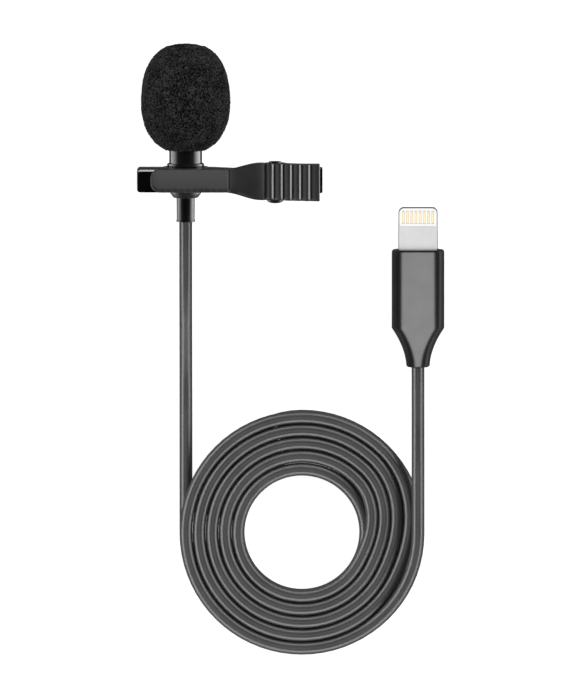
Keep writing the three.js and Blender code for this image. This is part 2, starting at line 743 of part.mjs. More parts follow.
// Outer shape of the coil: a ring two turns high and a hair wider than the turns, with the straight
// start of each lead.
function coilBody() {
  const inner = INNER_TURN_RADIUS - CORD_RADIUS;
  const outer = OUTER_TURN_RADIUS + CORD_RADIUS + FIT;
  const edge = 0.7;
  const ring = toSolid(lathe([
    [inner, edge],
    [inner + edge, 0],
    [outer - edge, 0],
    [outer, edge],
    [outer, COIL_HEIGHT - edge],
    [outer - edge, COIL_HEIGHT],
    [inner + edge, COIL_HEIGHT],
    [inner, COIL_HEIGHT - edge],
    [inner, edge],
  ], 48).rotateX(Math.PI / 2).translate(COIL_X, COIL_Y, 0));
  const stub = (x, z) => {
    const middle = COIL_Y + COIL_STUB / 2;
    return toSolid(cylinderAlongY(CORD_RADIUS, COIL_STUB / 2, x, middle, z, 8));
  };
  return toGeometry(ring.add(stub(MIC_X, CORD_RADIUS)).add(stub(PLUG_X, LEAD_TOP_Z)));
}

function addCord() {
  addPart(object, 'cord_mic_lead', lead(MIC_LEAD, 16), CORD);
  addPart(object, 'cord_coil', coilBody(), CORD);
  addPart(object, 'cord_plug_lead', lead(PLUG_LEAD, 9), CORD);
}

// ---------------------------------------------------------------- plug
function housingSections(shrink, top, end) {
  const section = (y, halfWidth, halfThick, corner) => ({
    y,
    halfWidth: halfWidth - shrink,
    halfThick: halfThick - shrink,
    corner: Math.min(corner, halfThick - shrink - 0.05),
  });
  const rim = 0.35;
  const list = [
    section(top, PLUG_HALF_WIDTH - rim, PLUG_HALF_THICK - rim, PLUG_CORNER - 0.2),
    section(top - rim, PLUG_HALF_WIDTH, PLUG_HALF_THICK, PLUG_CORNER),
    section(PLUG_SHOULDER, PLUG_HALF_WIDTH, PLUG_HALF_THICK, PLUG_CORNER),
  ];
  const steps = 6;
  for (let i = 1; i <= steps; i += 1) {
    const t = i / steps;
    const narrowing = 1 - (1 - t) ** TAPER_POWER;
    const halfWidth = PLUG_HALF_WIDTH + (PLUG_END_RADIUS - PLUG_HALF_WIDTH) * narrowing;
    const halfThick = PLUG_HALF_THICK + (PLUG_END_RADIUS - PLUG_HALF_THICK) * narrowing;
    const y = PLUG_SHOULDER + (end - PLUG_SHOULDER) * t;
    const corner = PLUG_CORNER + (PLUG_END_RADIUS - PLUG_CORNER) * narrowing;
    list.push(section(y, halfWidth, halfThick, corner));
  }
  return list;
}

function plugHousing() {
  const slotGap = 0.15;
  const outside = toSolid(loft(housingSections(0, PLUG_TOP, PLUG_END)));
  const inside = toSolid(loft(housingSections(PLUG_WALL, PLUG_TOP - PLUG_WALL, PLUG_END + 1.5)));
  const slot = toSolid(box(
    2 * (TAB_HALF_WIDTH + slotGap), 4, TAB_THICK + 2 * slotGap, 0, PLUG_TOP, 0));
  const cordHole = toSolid(cylinderAlongY(CORD_RADIUS + 0.3, 3, 0, PLUG_END, 0));
  return toGeometry(outside.subtract(inside).subtract(slot).subtract(cordHole));
}

function tabOutline(halfWidth, tip, root, corner) {
  const shape = new THREE.Shape();
  shape.moveTo(-halfWidth, root);
  shape.lineTo(halfWidth, root);
  shape.lineTo(halfWidth, tip - corner);
  shape.absarc(halfWidth - corner, tip - corner, corner, 0, Math.PI / 2, false);
  shape.lineTo(-halfWidth + corner, tip);
  shape.absarc(-halfWidth + corner, tip - corner, corner, Math.PI / 2, Math.PI, false);
  shape.closePath();
  return shape;
}

const WINDOW_MIDDLE = (WINDOW_TOP + WINDOW_BOTTOM) / 2;
const STEM_HALF_WIDTH = 2.6;
const STEM_THICK = 0.6;

function plugTab() {
  const half = TAB_THICK / 2;
  const outline = tabOutline(TAB_HALF_WIDTH, TAB_TIP, TAB_ROOT, TAB_CORNER);
  const opening = tabOutline(WINDOW_HALF_WIDTH, WINDOW_TOP, WINDOW_BOTTOM, WINDOW_CORNER);
  const frame = toSolid(slabAlongZ(outline, -half, half, 5));
  const window = toSolid(slabAlongZ(opening, -TAB_THICK, TAB_THICK, 4));
  const stemLength = WINDOW_BOTTOM - TAB_ROOT + 2;
  const stem = toSolid(box(
    2 * (STEM_HALF_WIDTH + FIT), stemLength, STEM_THICK + 2 * FIT,
    0, WINDOW_BOTTOM + 1 - stemLength / 2, 0));
  return toGeometry(frame.subtract(window).subtract(stem));
}

function contactX(number) {
  return (number - (CONTACTS + 1) / 2) * CONTACT_PITCH;
}

function contactCarrier() {
  const stemLength = WINDOW_BOTTOM - TAB_ROOT;
  const outline = tabOutline(
    WINDOW_HALF_WIDTH - FIT, WINDOW_TOP - FIT, WINDOW_BOTTOM + FIT, WINDOW_CORNER - FIT);
  const half = TAB_THICK / 2 - 0.02;
  let carrier = toSolid(slabAlongZ(outline, -half, half, 4));
  const stem = box(
    2 * STEM_HALF_WIDTH, stemLength + 0.3, STEM_THICK, 0, WINDOW_BOTTOM + 0.3 - (stemLength + 0.3) / 2, 0);
  carrier = carrier.add(toSolid(stem));
  for (let number = 1; number <= CONTACTS; number += 1) {
    const width = CONTACT_WIDTH + 2 * CONTACT_GAP;
    const slot = box(width, CONTACT_LENGTH + 2 * CONTACT_GAP, 3, contactX(number), WINDOW_MIDDLE, 0);
    carrier = carrier.subtract(toSolid(slot));
  }
  return toGeometry(carrier);
}

function shieldCan() {
  const wall = 0.2;
  const [halfWidth, halfThick] = [3.15, 1.35];
  const [top, bottom] = [TAB_ROOT - 0.3, -34.6];
  const length = top - bottom;
  const middle = (top + bottom) / 2;
  const outer = toSolid(box(2 * halfWidth, length, 2 * halfThick, 0, middle, 0));
  const inner = toSolid(box(2 * (halfWidth - wall), length + 2, 2 * (halfThick - wall), 0, middle, 0));
  return toGeometry(outer.subtract(inner));
}

function addPlug() {
  const plug = new THREE.Group();
  plug.position.set(PLUG_X, 0, PLUG_HALF_THICK);
  object.add(plug);
  addPart(plug, 'plug_housing', plugHousing(), ANODISED);
  addPart(plug, 'plug_tab', plugTab(), STEEL);
  addPart(plug, 'contact_carrier', contactCarrier(), WHITE_PLASTIC);
  for (let number = 1; number <= CONTACTS; number += 1) {
    const contact = box(CONTACT_WIDTH, CONTACT_LENGTH, TAB_THICK, contactX(number), WINDOW_MIDDLE, 0);
    addPart(plug, `contact_${number}`, contact, GOLD);
  }
  const board = { top: TAB_ROOT - FIT, length: 8, width: 5.6, thick: 0.6 };
  const boardMiddle = board.top - board.length / 2;
  const chip = { side: 2.6, thick: 0.6 };
  const chipZ = (board.thick + chip.thick) / 2 + FIT;
  const clamp = { top: -36, bottom: -37.2, inner: 0.5, outer: 1.5 };
  const collar = { top: -40.6, bottom: -41.9, inner: 0.6, outer: CORD_RADIUS + 0.2 };
  const ring = ({ inner, outer, bottom, top }) => tube(inner, outer, bottom, top, SMALL_SIDES);
  addPart(plug, 'plug_board', box(board.width, board.length, board.thick, 0, boardMiddle, 0), BOARD);
  addPart(plug, 'control_chip', box(chip.side, chip.side, chip.thick, 0, boardMiddle, chipZ), BLACK_PLASTIC);
  addPart(plug, 'shield_can', shieldCan(), STEEL);
  addPart(plug, 'plug_clamp', ring(clamp), STEEL);
  addPart(plug, 'cord_collar', ring(collar), RUBBER);
}

addMicrophone();
addClip();
addCord();
addPlug();

export default object;
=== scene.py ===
"""Lavalier microphone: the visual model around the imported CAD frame.

The set lies on a pale floor at Z = 0. The microphone's axis runs along Y with the foam towards +Y,
and the clip's grip points to +X. Sizes are in millimetres, apart from those of the floor and the
lights, which are in metres.
"""

import json
import math

import bmesh
import bpy
from mathutils import Matrix, Vector, noise


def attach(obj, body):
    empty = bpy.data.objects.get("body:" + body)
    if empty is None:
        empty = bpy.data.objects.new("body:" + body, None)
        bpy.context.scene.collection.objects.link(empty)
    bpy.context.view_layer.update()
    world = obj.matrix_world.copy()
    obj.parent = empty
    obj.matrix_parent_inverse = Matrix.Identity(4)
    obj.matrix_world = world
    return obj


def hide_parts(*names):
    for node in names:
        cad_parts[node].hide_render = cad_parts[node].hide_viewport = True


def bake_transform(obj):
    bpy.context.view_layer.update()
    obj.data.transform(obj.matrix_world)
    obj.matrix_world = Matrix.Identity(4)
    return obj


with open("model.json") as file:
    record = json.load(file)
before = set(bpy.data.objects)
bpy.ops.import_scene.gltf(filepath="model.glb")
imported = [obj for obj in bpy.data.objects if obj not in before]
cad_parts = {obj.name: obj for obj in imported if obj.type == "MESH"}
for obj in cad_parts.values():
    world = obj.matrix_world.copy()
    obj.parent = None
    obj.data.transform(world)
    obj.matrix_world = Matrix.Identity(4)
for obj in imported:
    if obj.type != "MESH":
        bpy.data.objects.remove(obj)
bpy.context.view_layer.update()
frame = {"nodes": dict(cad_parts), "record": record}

MM = 0.001  # in metres
MIC_X = -7.5  # the microphone's axis
AXIS_Z = 7.65
CLIP_Y = -9.67  # the clip's middle plane
PLUG_X = 32.1  # the plug's axis
PLUG_Z = 2.6


# -------- camera and cord
CAMERA_TILT = math.radians(4.5)  # from straight above, towards +Y
VIEW_HEIGHT = 119.35  # from the picture's top edge to its bottom edge
VIEW_CENTRE = Vector((10.52, -39.18, 5.0))
LENS = 1200.0  # long, so that the view is nearly parallel
SENSOR = 36.0


def make_camera():
    data = bpy.data.cameras.new("camera")
    data.lens = LENS
    data.sensor_width = SENSOR
    data.clip_start = 0.1
    data.clip_end = 20
    camera = bpy.data.objects.new("camera", data)
    towards = Vector((0, math.sin(CAMERA_TILT), math.cos(CAMERA_TILT)))
    distance = VIEW_HEIGHT * MM * LENS / SENSOR
    camera.location = VIEW_CENTRE * MM + towards * distance
    camera.rotation_euler = (-CAMERA_TILT, 0, 0)
    bpy.context.scene.collection.objects.link(camera)
    bpy.context.scene.camera = camera


CORD_DIAMETER = 2.2
COIL_X = 12.3
COIL_Y = -70.6
OUTER_TURN_RADIUS = 19.8
INNER_TURN_RADIUS = 10.9
RINGS = 5  # side by side in each of the coil's two layers
LAYER = 2.22  # height of the front layer above the back one
TURN_STEP = 5  # degrees between points of the coil
LEAD_STEP = 1.0  # between points of the two leads
COIL_START = 180  # the microphone's lead comes onto the back layer here, heading for -Y
BACK_STEPS = (450, 810, 1170, 1530)  # where each step inwards begins on the back layer
BACK_SPAN = 80  # degrees over which the cord steps from one ring to the next
CLIMB = (1787, 1877)  # the innermost ring climbs onto the front layer
FRONT_STEPS = (2132, 2494, 2855, 3215)  # where each step outwards begins on the front layer
FRONT_SPAN = 70  # the same on the front layer
HUMP = (3535, 3600)  # the last stretch rises over the ring beside it
HUMP_TOP = 5.55  # and leaves the coil at this height
COIL_END = 3600
MIC_LEAD = [
    (MIC_X, -15.6, AXIS_Z), (MIC_X, -17.38, AXIS_Z), (MIC_X, -21.0, AXIS_Z),
    (MIC_X, -26.0, 7.35), (MIC_X, -31.5, 6.2), (MIC_X, -37.5, 4.1),
    (MIC_X, -43.5, 2.2), (MIC_X, -49.0, 1.35), (MIC_X, -54.0, 1.1),
    (MIC_X, -60.4, 1.1), (MIC_X, -65.5, 1.1),
]
PLUG_LEAD = [
    (PLUG_X, -65.5, 5.55), (PLUG_X, -60.4, 5.55), (PLUG_X, -58.0, 5.35),
    (PLUG_X, -54.0, 4.5), (PLUG_X, -50.0, 3.5), (PLUG_X, -46.0, 2.8),
    (PLUG_X, -42.57, PLUG_Z), (PLUG_X, -41.95, PLUG_Z),
]


def smooth_step(value, low, high):
    share = min(1.0, max(0.0, (value - low) / (high - low)))
    return share * share * (3 - 2 * share)


def coil_point(angle):
    inwards = sum(smooth_step(angle, start, start + BACK_SPAN) for start in BACK_STEPS)
    outwards = sum(smooth_step(angle, start, start + FRONT_SPAN) for start in FRONT_STEPS)
    pitch = (OUTER_TURN_RADIUS - INNER_TURN_RADIUS) / (RINGS - 1)
    radius = OUTER_TURN_RADIUS - pitch * (inwards - outwards)
    height = CORD_DIAMETER / 2 + LAYER * smooth_step(angle, *CLIMB)
    height += (HUMP_TOP - height) * smooth_step(angle, *HUMP)
    turn = math.radians(angle)
    return (COIL_X + radius * math.cos(turn), COIL_Y + radius * math.sin(turn), height)


def spaced_curve(points, step):
    """Points a step apart on a smooth (Catmull-Rom) curve through the given ones."""
    padded = [Vector(points[0]) * 2 - Vector(points[1])]
    padded += [Vector(p) for p in points]
    padded.append(Vector(points[-1]) * 2 - Vector(points[-2]))
    result = []
    for before, start, end, after in zip(padded, padded[1:], padded[2:], padded[3:]):
        count = max(1, round((end - start).length / step))
        for i in range(count):
            t = i / count
            result.append(0.5 * (
                2 * start + (end - before) * t
                + (2 * before - 5 * start + 4 * end - after) * t ** 2
                + (3 * start - before - 3 * end + after) * t ** 3
            ))
    result.append(padded[-2])
    return result


def cord_route():
    coil = [Vector(coil_point(angle)) for angle in range(COIL_START, COIL_END + 1, TURN_STEP)]
    return spaced_curve(MIC_LEAD, LEAD_STEP) + coil + spaced_curve(PLUG_LEAD, LEAD_STEP)


def curve_tube(name, points, radius, smoothness=8):
    """A round tube along points in millimetres, as one open poly curve."""
    data = bpy.data.curves.new(name, "CURVE")
    data.dimensions = "3D"
    data.bevel_depth = radius * MM
    data.bevel_resolution = smoothness
    data.use_fill_caps = True
    spline = data.splines.new("POLY")
    spline.points.add(len(points) - 1)
    for place, point in zip(spline.points, points):
        place.co = (*(Vector(point) * MM), 1)
    spline.use_smooth = True
    piece = bpy.data.objects.new(name, data)
    bpy.context.scene.collection.objects.link(piece)
    return piece


make_camera()
route = cord_route()
cord = curve_tube("cord", route, CORD_DIAMETER / 2)


# -------- mesh helpers
def mesh_object(name, points, faces, sharp=40):
    """A closed mesh from points in millimetres, faces outwards, edges above sharp degrees crisp."""
    mesh = bpy.data.meshes.new(name)
    mesh.from_pydata([Vector(p) * MM for p in points], [], faces)
    piece = bpy.data.objects.new(name, mesh)
    bpy.context.scene.collection.objects.link(piece)
    tidy_mesh(piece, sharp)
    return piece


def tidy_mesh(piece, sharp=40):
    mesh = piece.data
    work = bmesh.new()
    work.from_mesh(mesh)
    bmesh.ops.remove_doubles(work, verts=work.verts, dist=1e-7)
    bmesh.ops.recalc_face_normals(work, faces=work.faces)
    work.to_mesh(mesh)
    work.free()
    mesh.shade_smooth()
    mesh.set_sharp_from_angle(angle=math.radians(sharp))
    mesh.update()


def rounded(points, steps=4):
    """A flat outline with an arc at each corner whose third number is its radius."""
    result = []
    for i, point in enumerate(points):
        here = Vector(point[:2])
        radius = point[2] if len(point) > 2 else 0
        if not radius:
            result.append(here)
            continue
        back = (Vector(points[i - 1][:2]) - here).normalized()
        ahead = (Vector(points[(i + 1) % len(points)][:2]) - here).normalized()
        half = back.angle(ahead) / 2
        centre = here + (back + ahead).normalized() * (radius / math.sin(half))
        start = here + back * (radius / math.tan(half)) - centre
        end = here + ahead * (radius / math.tan(half)) - centre
        sweep = start.angle_signed(end)
        for k in range(steps + 1):
            turn = -sweep * k / steps
            result.append(centre + Matrix.Rotation(turn, 2) @ start)
    return result


def lathe(name, outline, x=MIC_X, z=AXIS_Z, y=0.0, segments=96, sharp=40):
    """A solid turned about a line along Y.

    The outline's points are (radius, y), and it closes on itself or on the axis.
    """
    points, rings = [], []
    for radius, height in outline:
        count = 1 if radius < 1e-6 else segments
        rings.append(range(len(points), len(points) + count))
        for i in range(count):
            turn = 2 * math.pi * i / segments
            points.append((x + radius * math.cos(turn), y + height, z + radius * math.sin(turn)))
    pairs = list(zip(rings, rings[1:]))
    if len(rings[0]) > 1 or len(rings[-1]) > 1:
        pairs.append((rings[-1], rings[0]))
    faces = []
    for one, other in pairs:
        for i in range(segments):
            n = (i + 1) % segments
            corners = [one[i % len(one)], one[n % len(one)], other[n % len(other)], other[i % len(other)]]
            corners = [c for k, c in enumerate(corners) if c != corners[k - 1]]
            if len(corners) > 2:
                faces.append(corners)
    return mesh_object(name, points, faces, sharp)


def loft(name, rings, sharp=40):
    """A skin through rings of points that all have the same count, with flat ends."""
    count = len(rings[0])
    points = [p for ring in rings for p in ring]
    faces = [list(range(count)), list(range(len(points) - count, len(points)))]
    for r in range(len(rings) - 1):
        for i in range(count):
            n = (i + 1) % count
            a, b = r * count, (r + 1) * count
            faces.append((a + i, a + n, b + n, b + i))
    return mesh_object(name, points, faces, sharp)


SQUARE = ((1, 1), (-1, 1), (-1, -1), (1, -1))


def rounded_rectangle(half_a, half_b, corner, steps=6):
    return rounded([(a * half_a, b * half_b, corner) for a, b in SQUARE], steps)


def finished_mesh(piece):
    """A mesh of a curve's tube, or of a piece with its modifiers applied."""
    graph = bpy.context.evaluated_depsgraph_get()
    return bpy.data.meshes.new_from_object(piece.evaluated_get(graph))


def combine(piece, other, operation):
    """Joins or cuts piece with other, which is used up."""
    modifier = piece.modifiers.new("combine", "BOOLEAN")
    modifier.operation = operation
    modifier.solver = "EXACT"
    modifier.object = other
    mesh = finished_mesh(piece)
    mesh.name = piece.name
    piece.modifiers.clear()
    piece.data = mesh
    tidy_mesh(piece)
    bpy.data.objects.remove(other)


def cut(piece, *others):
    for other in others:
        combine(piece, other, "DIFFERENCE")


def level_ring(outline, z, x=0.0, y=0.0):
    return [(x + p.x, y + p.y, z) for p in outline]


def box(name, low, high, corner=0.0):
    """A box between two corners in millimetres, with its upright edges rounded."""
    low, high = Vector(low), Vector(high)
    middle, half = (low + high) / 2, (high - low) / 2
    outline = rounded_rectangle(half.x, half.y, corner)
    return loft(name, [level_ring(outline, z, middle.x, middle.y) for z in (low.z, high.z)])


# -------- materials
class Shader:
    """A procedural material: a Principled shader and the nodes that feed it."""

    def __init__(self, name, colour, roughness, metallic=0.0, specular=0.5):
        self.material = bpy.data.materials.new(name)
        self.material.use_nodes = True
        self.tree = self.material.node_tree
        self.surface = self.tree.nodes["Principled BSDF"]
        self.set("Base Color", (*colour, 1))
        self.set("Roughness", roughness)
        self.set("Metallic", metallic)
        self.set("Specular IOR Level", specular)
        self.place = self.tree.nodes.new("ShaderNodeTexCoord").outputs["Object"]

    def set(self, socket, value):
        self.surface.inputs[socket].default_value = value

    def node(self, kind, **values):
        made = self.tree.nodes.new(kind)
        for key, value in values.items():
            if key in made.inputs:
                made.inputs[key].default_value = value
            else:
                setattr(made, key, value)
        return made

    def link(self, output, target):
        self.tree.links.new(output, target)

    def stretched(self, scale):
        """The place on the object, scaled by a different amount on each axis."""
        mapping = self.node("ShaderNodeMapping", Scale=scale)
        self.link(self.place, mapping.inputs["Vector"])
        return mapping.outputs["Vector"]

    def noise(self, size, detail=3.0, place=None):
        """Smooth noise from 0 to 1 with features of that size in millimetres."""
        texture = self.node("ShaderNodeTexNoise", Scale=1 / (size * MM), Detail=detail)
        self.link(place or self.place, texture.inputs["Vector"])
        return texture.outputs["Fac"]

    def ramp(self, value, stops):
        """Maps a value to colours; stops are (position, colour)."""
        ramp = self.node("ShaderNodeValToRGB")
        elements = ramp.color_ramp.elements
        while len(elements) < len(stops):
            elements.new(0.5)
        for element, (position, colour) in zip(elements, stops):
            element.position = position
            element.color = (*colour, 1)
        self.link(value, ramp.inputs["Fac"])
        return ramp.outputs["Color"]

    def grey(self, value, low, high):
        """Maps noise, which mostly lies between 0.3 and 0.7, to the range from low to high."""
        spread = self.node("ShaderNodeMapRange")
        for socket, number in zip(("From Min", "From Max", "To Min", "To Max"), (0.3, 0.7, low, high)):
            spread.inputs[socket].default_value = number
        self.link(value, spread.inputs["Value"])
        return spread.outputs["Result"]

    def colour_from(self, value, dark, light):
        self.link(self.ramp(value, [(0.3, dark), (0.7, light)]), self.surface.inputs["Base Color"])

    def roughness_from(self, value, low, high):
        self.link(self.grey(value, low, high), self.surface.inputs["Roughness"])

    def bump_from(self, value, height):
        """Relief of that height in millimetres."""
        bump = self.node("ShaderNodeBump", Strength=1.0, Distance=height * MM)
        self.link(value, bump.inputs["Height"])
        self.link(bump.outputs["Normal"], self.surface.inputs["Normal"])


def grained(name, colour, roughness, grain, relief, metallic=0.0, vary=0.15):
    """A moulded or coated surface: fine grain of one size, with a little change of tone and gloss."""
    shader = Shader(name, colour, roughness, metallic)
    broad = shader.noise(grain * 30)
    fine = shader.noise(grain)
    shader.colour_from(broad, [c * (1 - vary) for c in colour], [c * (1 + vary) for c in colour])
    shader.roughness_from(broad, roughness * 0.9, roughness * 1.1)
    shader.bump_from(fine, relief)
    return shader.material


def foam_material():
    """Open-cell foam, slightly shiny, with painted shade: the hollows of the cells are coloured near-black,
    darker than the lighter walls between them.
    """
    shader = Shader("foam", (0.03, 0.03, 0.031), 0.7, specular=0.12)
    wall = shader.node("ShaderNodeAttribute", attribute_name="wall")
    fine = shader.noise(0.16, detail=2.0)
    patchy = shader.noise(2.5)
    tone = wall.outputs["Fac"]
    for factor in (shader.grey(fine, 0.4, 1.3), shader.grey(patchy, 0.8, 1.2)):
        product = shader.node("ShaderNodeMath", operation="MULTIPLY")
        shader.link(tone, product.inputs[0])
        shader.link(factor, product.inputs[1])
        tone = product.outputs["Value"]
    # painted shade: a wall value of 0, inside a cell, gives near-black, standing in for the shade in the
    # cell's hollow
    colours = [(0.0, (0.001, 0.001, 0.001)), (0.5, (0.016, 0.016, 0.0162)), (1.0, (0.1, 0.1, 0.102))]
    shader.link(shader.ramp(tone, colours), shader.surface.inputs["Base Color"])
    shader.bump_from(fine, 0.08)
    return shader.material


def felt_material():
    shader = Shader("felt", (0.05, 0.05, 0.055), 0.95)
    fibres = shader.noise(0.12, detail=6.0)
    shader.colour_from(fibres, (0.02, 0.02, 0.022), (0.09, 0.09, 0.1))
    shader.bump_from(fibres, 0.05)
    return shader.material


def black_metal_material():
    """Gloss black paint over turned metal, with faint hairlines round the tube."""
    shader = Shader("black_metal", (0.019, 0.019, 0.0195), 0.16)
    lines = shader.noise(0.09, detail=2.0, place=shader.stretched((0.15, 1, 0.15)))
    shader.roughness_from(lines, 0.13, 0.2)
    broad = shader.noise(3.0)
    shader.colour_from(broad, (0.017, 0.017, 0.0175), (0.022, 0.022, 0.0225))
    shader.bump_from(lines, 0.0006)
    return shader.material


def clip_plastic_material():
    return grained("clip_plastic", (0.024, 0.024, 0.0245), 0.38, 0.12, 0.0015)


def clip_gloss_material():
    """Polished black plastic of the rear lever."""
    return grained("clip_gloss", (0.001, 0.001, 0.0011), 0.12, 0.3, 0.0004)


def rubber_material():
    return grained("rubber", (0.012, 0.012, 0.0125), 0.3, 0.1, 0.001)


def cord_material():
    """Smooth satin jacket, with the faint lengthwise streaks that extrusion leaves."""
    shader = Shader("cord", (0.03, 0.03, 0.031), 0.34, specular=0.55)
    broad = shader.noise(6.0)
    fine = shader.noise(0.08, detail=2.0)
    shader.colour_from(broad, (0.027, 0.027, 0.028), (0.034, 0.034, 0.035))
    shader.roughness_from(broad, 0.31, 0.37)
    shader.bump_from(fine, 0.0012)
    return shader.material


def steel_material():
    shader = Shader("steel", (0.6, 0.61, 0.62), 0.25, metallic=1.0)
    lines = shader.noise(0.1, place=shader.stretched((0.1, 1, 1)))
    shader.roughness_from(lines, 0.18, 0.34)
    shader.colour_from(shader.noise(1.5), (0.54, 0.55, 0.56), (0.64, 0.65, 0.66))
    return shader.material


def aluminium_material():
    shader = Shader("aluminium", (0.75, 0.76, 0.77), 0.3, metallic=1.0)
    lines = shader.noise(0.08, place=shader.stretched((1, 0.1, 1)))
    shader.roughness_from(lines, 0.22, 0.4)
    shader.colour_from(shader.noise(1.2), (0.68, 0.69, 0.7), (0.79, 0.8, 0.81))
    return shader.material


def tab_metal_material():
    """Satin plated steel with a very fine brushed grain along the plug."""
    shader = Shader("tab_metal", (0.82, 0.82, 0.83), 0.35, metallic=1.0)
    lines = shader.noise(0.05, detail=2.0, place=shader.stretched((1, 0.12, 1)))
    shader.roughness_from(lines, 0.3, 0.42)
    shader.colour_from(shader.noise(2.0), (0.8, 0.8, 0.81), (0.86, 0.86, 0.87))
    shader.bump_from(lines, 0.0006)
    return shader.material


def anodised_material():
    """Dark grey anodised aluminium with a fine blasted grain."""
    shader = Shader("anodised", (0.29, 0.29, 0.295), 0.3, metallic=1.0)
    grain = shader.noise(0.06, detail=2.0)
    shader.roughness_from(grain, 0.26, 0.34)
    shader.colour_from(shader.noise(3.0), (0.28, 0.28, 0.285), (0.31, 0.31, 0.315))
    shader.bump_from(grain, 0.0008)
    return shader.material


def white_plastic_material():
    return grained("white_plastic", (0.88, 0.88, 0.86), 0.4, 0.15, 0.001, vary=0.02)


def gold_material():
    """Pale gold plating whose tone changes a little from one contact to the next."""
    shader = Shader("gold", (0.78, 0.66, 0.43), 0.4, metallic=0.35)
    patches = shader.noise(0.9, detail=1.0, place=shader.stretched((1, 0.1, 0.1)))
    shader.colour_from(patches, (0.78, 0.63, 0.46), (0.76, 0.67, 0.41))
    shader.roughness_from(shader.noise(0.08), 0.36, 0.46)
    return shader.material


def copper_material():
    return grained("copper", (0.7, 0.42, 0.25), 0.35, 0.2, 0.001, metallic=1.0, vary=0.08)


def wire_material():
    return grained("wire_red", (0.45, 0.03, 0.03), 0.4, 0.1, 0.001)


def board_material():
    return grained("board", (0.04, 0.2, 0.09), 0.45, 0.15, 0.002)


def chip_material():
    return grained("chip", (0.02, 0.02, 0.02), 0.6, 0.06, 0.002)


MATERIALS = {
    "foam": foam_material(),
    "felt": felt_material(),
    "black_metal": black_metal_material(),
    "clip_plastic": clip_plastic_material(),
    "clip_gloss": clip_gloss_material(),
    "rubber": rubber_material(),
    "cord": cord_material(),
    "steel": steel_material(),
    "aluminium": aluminium_material(),
    "tab_metal": tab_metal_material(),
    "anodised": anodised_material(),
    "white_plastic": white_plastic_material(),
    "gold": gold_material(),
    "copper": copper_material(),
    "wire_red": wire_material(),
    "board": board_material(),
    "chip": chip_material(),
}


def dress(piece, slot, body, *nodes):
    """Gives a finished piece its material and body, and hides the CAD nodes that it stands for."""
    piece.data.materials.clear()
    piece.data.materials.append(MATERIALS[slot])
    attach(piece, body)
    if nodes:
        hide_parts(*nodes)
    return piece


# -------- windscreen
FOAM_TOP = 13.3
FOAM_WIDEST = 3.18  # Y of the widest place
FOAM_TAPER = 8.6  # the outline would close up this far below the widest place
FOAM_BOTTOM = -4.7
FOAM_RADIUS = 7.42
FOAM_BORE = 3.0
FOAM_BORE_TOP = 6.8
CELL = 0.4  # across one cell of the foam
CELL_WALL = 0.16  # how far the walls between cells stand out
CELL_DEPTH = 0.24
STRAND_RELIEF = 0.14
LUMP_RELIEF = 0.06


def foam_radius(y):
    """The foam's outline: an egg with a blunt top, cut flat at its neck."""
    upper = y > FOAM_WIDEST
    power = 2.4 if upper else 2.2
    height = FOAM_TOP - FOAM_WIDEST if upper else FOAM_TAPER
    share = min(1.0, abs(y - FOAM_WIDEST) / height)
    return FOAM_RADIUS * (1 - share ** power) ** (1 / power)


def foam_outline():
    """Closely spaced (radius, y) points: over the outside from the top, then up the bore."""
    heights = [FOAM_WIDEST + (FOAM_TOP - FOAM_WIDEST) * math.cos(math.pi / 2 * i / 40) for i in range(41)]
    heights += [FOAM_WIDEST + (FOAM_BOTTOM - FOAM_WIDEST) * i / 24 for i in range(1, 25)]
    outside = [(foam_radius(y), y) for y in heights]
    rim = [outside[-2], (*outside[-1], 0.5), (FOAM_BORE, FOAM_BOTTOM, 0.3), (FOAM_BORE, 0)]
    bore = [(FOAM_BORE, FOAM_BOTTOM + 0.5), (FOAM_BORE, FOAM_BORE_TOP), (0, FOAM_BORE_TOP)]
    fine, coarse = 0.09, 0.35
    return evenly(outside[:-3] + rounded(rim, 5)[1:-1], fine), evenly(bore, coarse)


def evenly(points, step):
    """The outline again with points a step apart."""
    points = [Vector(p[:2]) for p in points]
    result = [points[0]]
    for start, end in zip(points, points[1:]):
        count = max(1, round((end - start).length / step))
        result += [start.lerp(end, (i + 1) / count) for i in range(count)]
    return result


def foam_relief(point):
    """(height, wall) of the foam's surface at a place; wall is 1 between cells and 0 inside them, and the
    foam's colour turns it into painted shade in the cells.
    """
    wobble = noise.noise_vector(point * 1.7) * 0.3
    distances = noise.voronoi((point + wobble) / CELL)[0]
    inside = smooth_step(distances[1] - distances[0], 0.03, 0.5)
    strand = noise.noise(point * 6.5)
    wall = max(0.0, 1 - inside + 0.45 * strand)
    lump = noise.noise(point * 0.6)
    cells = CELL_WALL * (1 - inside) - CELL_DEPTH * inside
    return cells + STRAND_RELIEF * strand + LUMP_RELIEF * lump, wall


def make_windscreen():
    outside, bore = foam_outline()
    piece = lathe("windscreen_foam", outside + bore, segments=520, sharp=180)
    mesh = piece.data
    walls = mesh.attributes.new("wall", "FLOAT", "POINT")
    moved, values = [], []
    for vertex in mesh.vertices:
        place = vertex.co / MM
        height, wall = foam_relief(place)
        across = math.hypot(place.x - MIC_X, place.z - AXIS_Z)
        if across < FOAM_BORE + 0.05 and place.y > FOAM_BOTTOM + 0.4:
            height = min(0.0, height) * -0.3  # the bore is nearly smooth
        moved.append(vertex.co + vertex.normal * height * MM)
        values.append(wall)
    for vertex, place in zip(mesh.vertices, moved):
        vertex.co = place
    # the wall attribute feeds the painted shade of the cells in the foam's colour
    walls.data.foreach_set("value", values)
    mesh.update()
    dress(piece, "foam", "windscreen", "windscreen")
    return piece


# -------- microphone
BODY_RADIUS = 2.8
BODY_TOP = 3.0
BODY_BOTTOM = -11.82
FLANGE_RADIUS = 3.15
FLANGE_LOW = -7.57
FLANGE_HIGH = -7.07
TAIL_END = -12.95
RELIEF_END = -17.08
RELIEF_RADIUS = 1.575


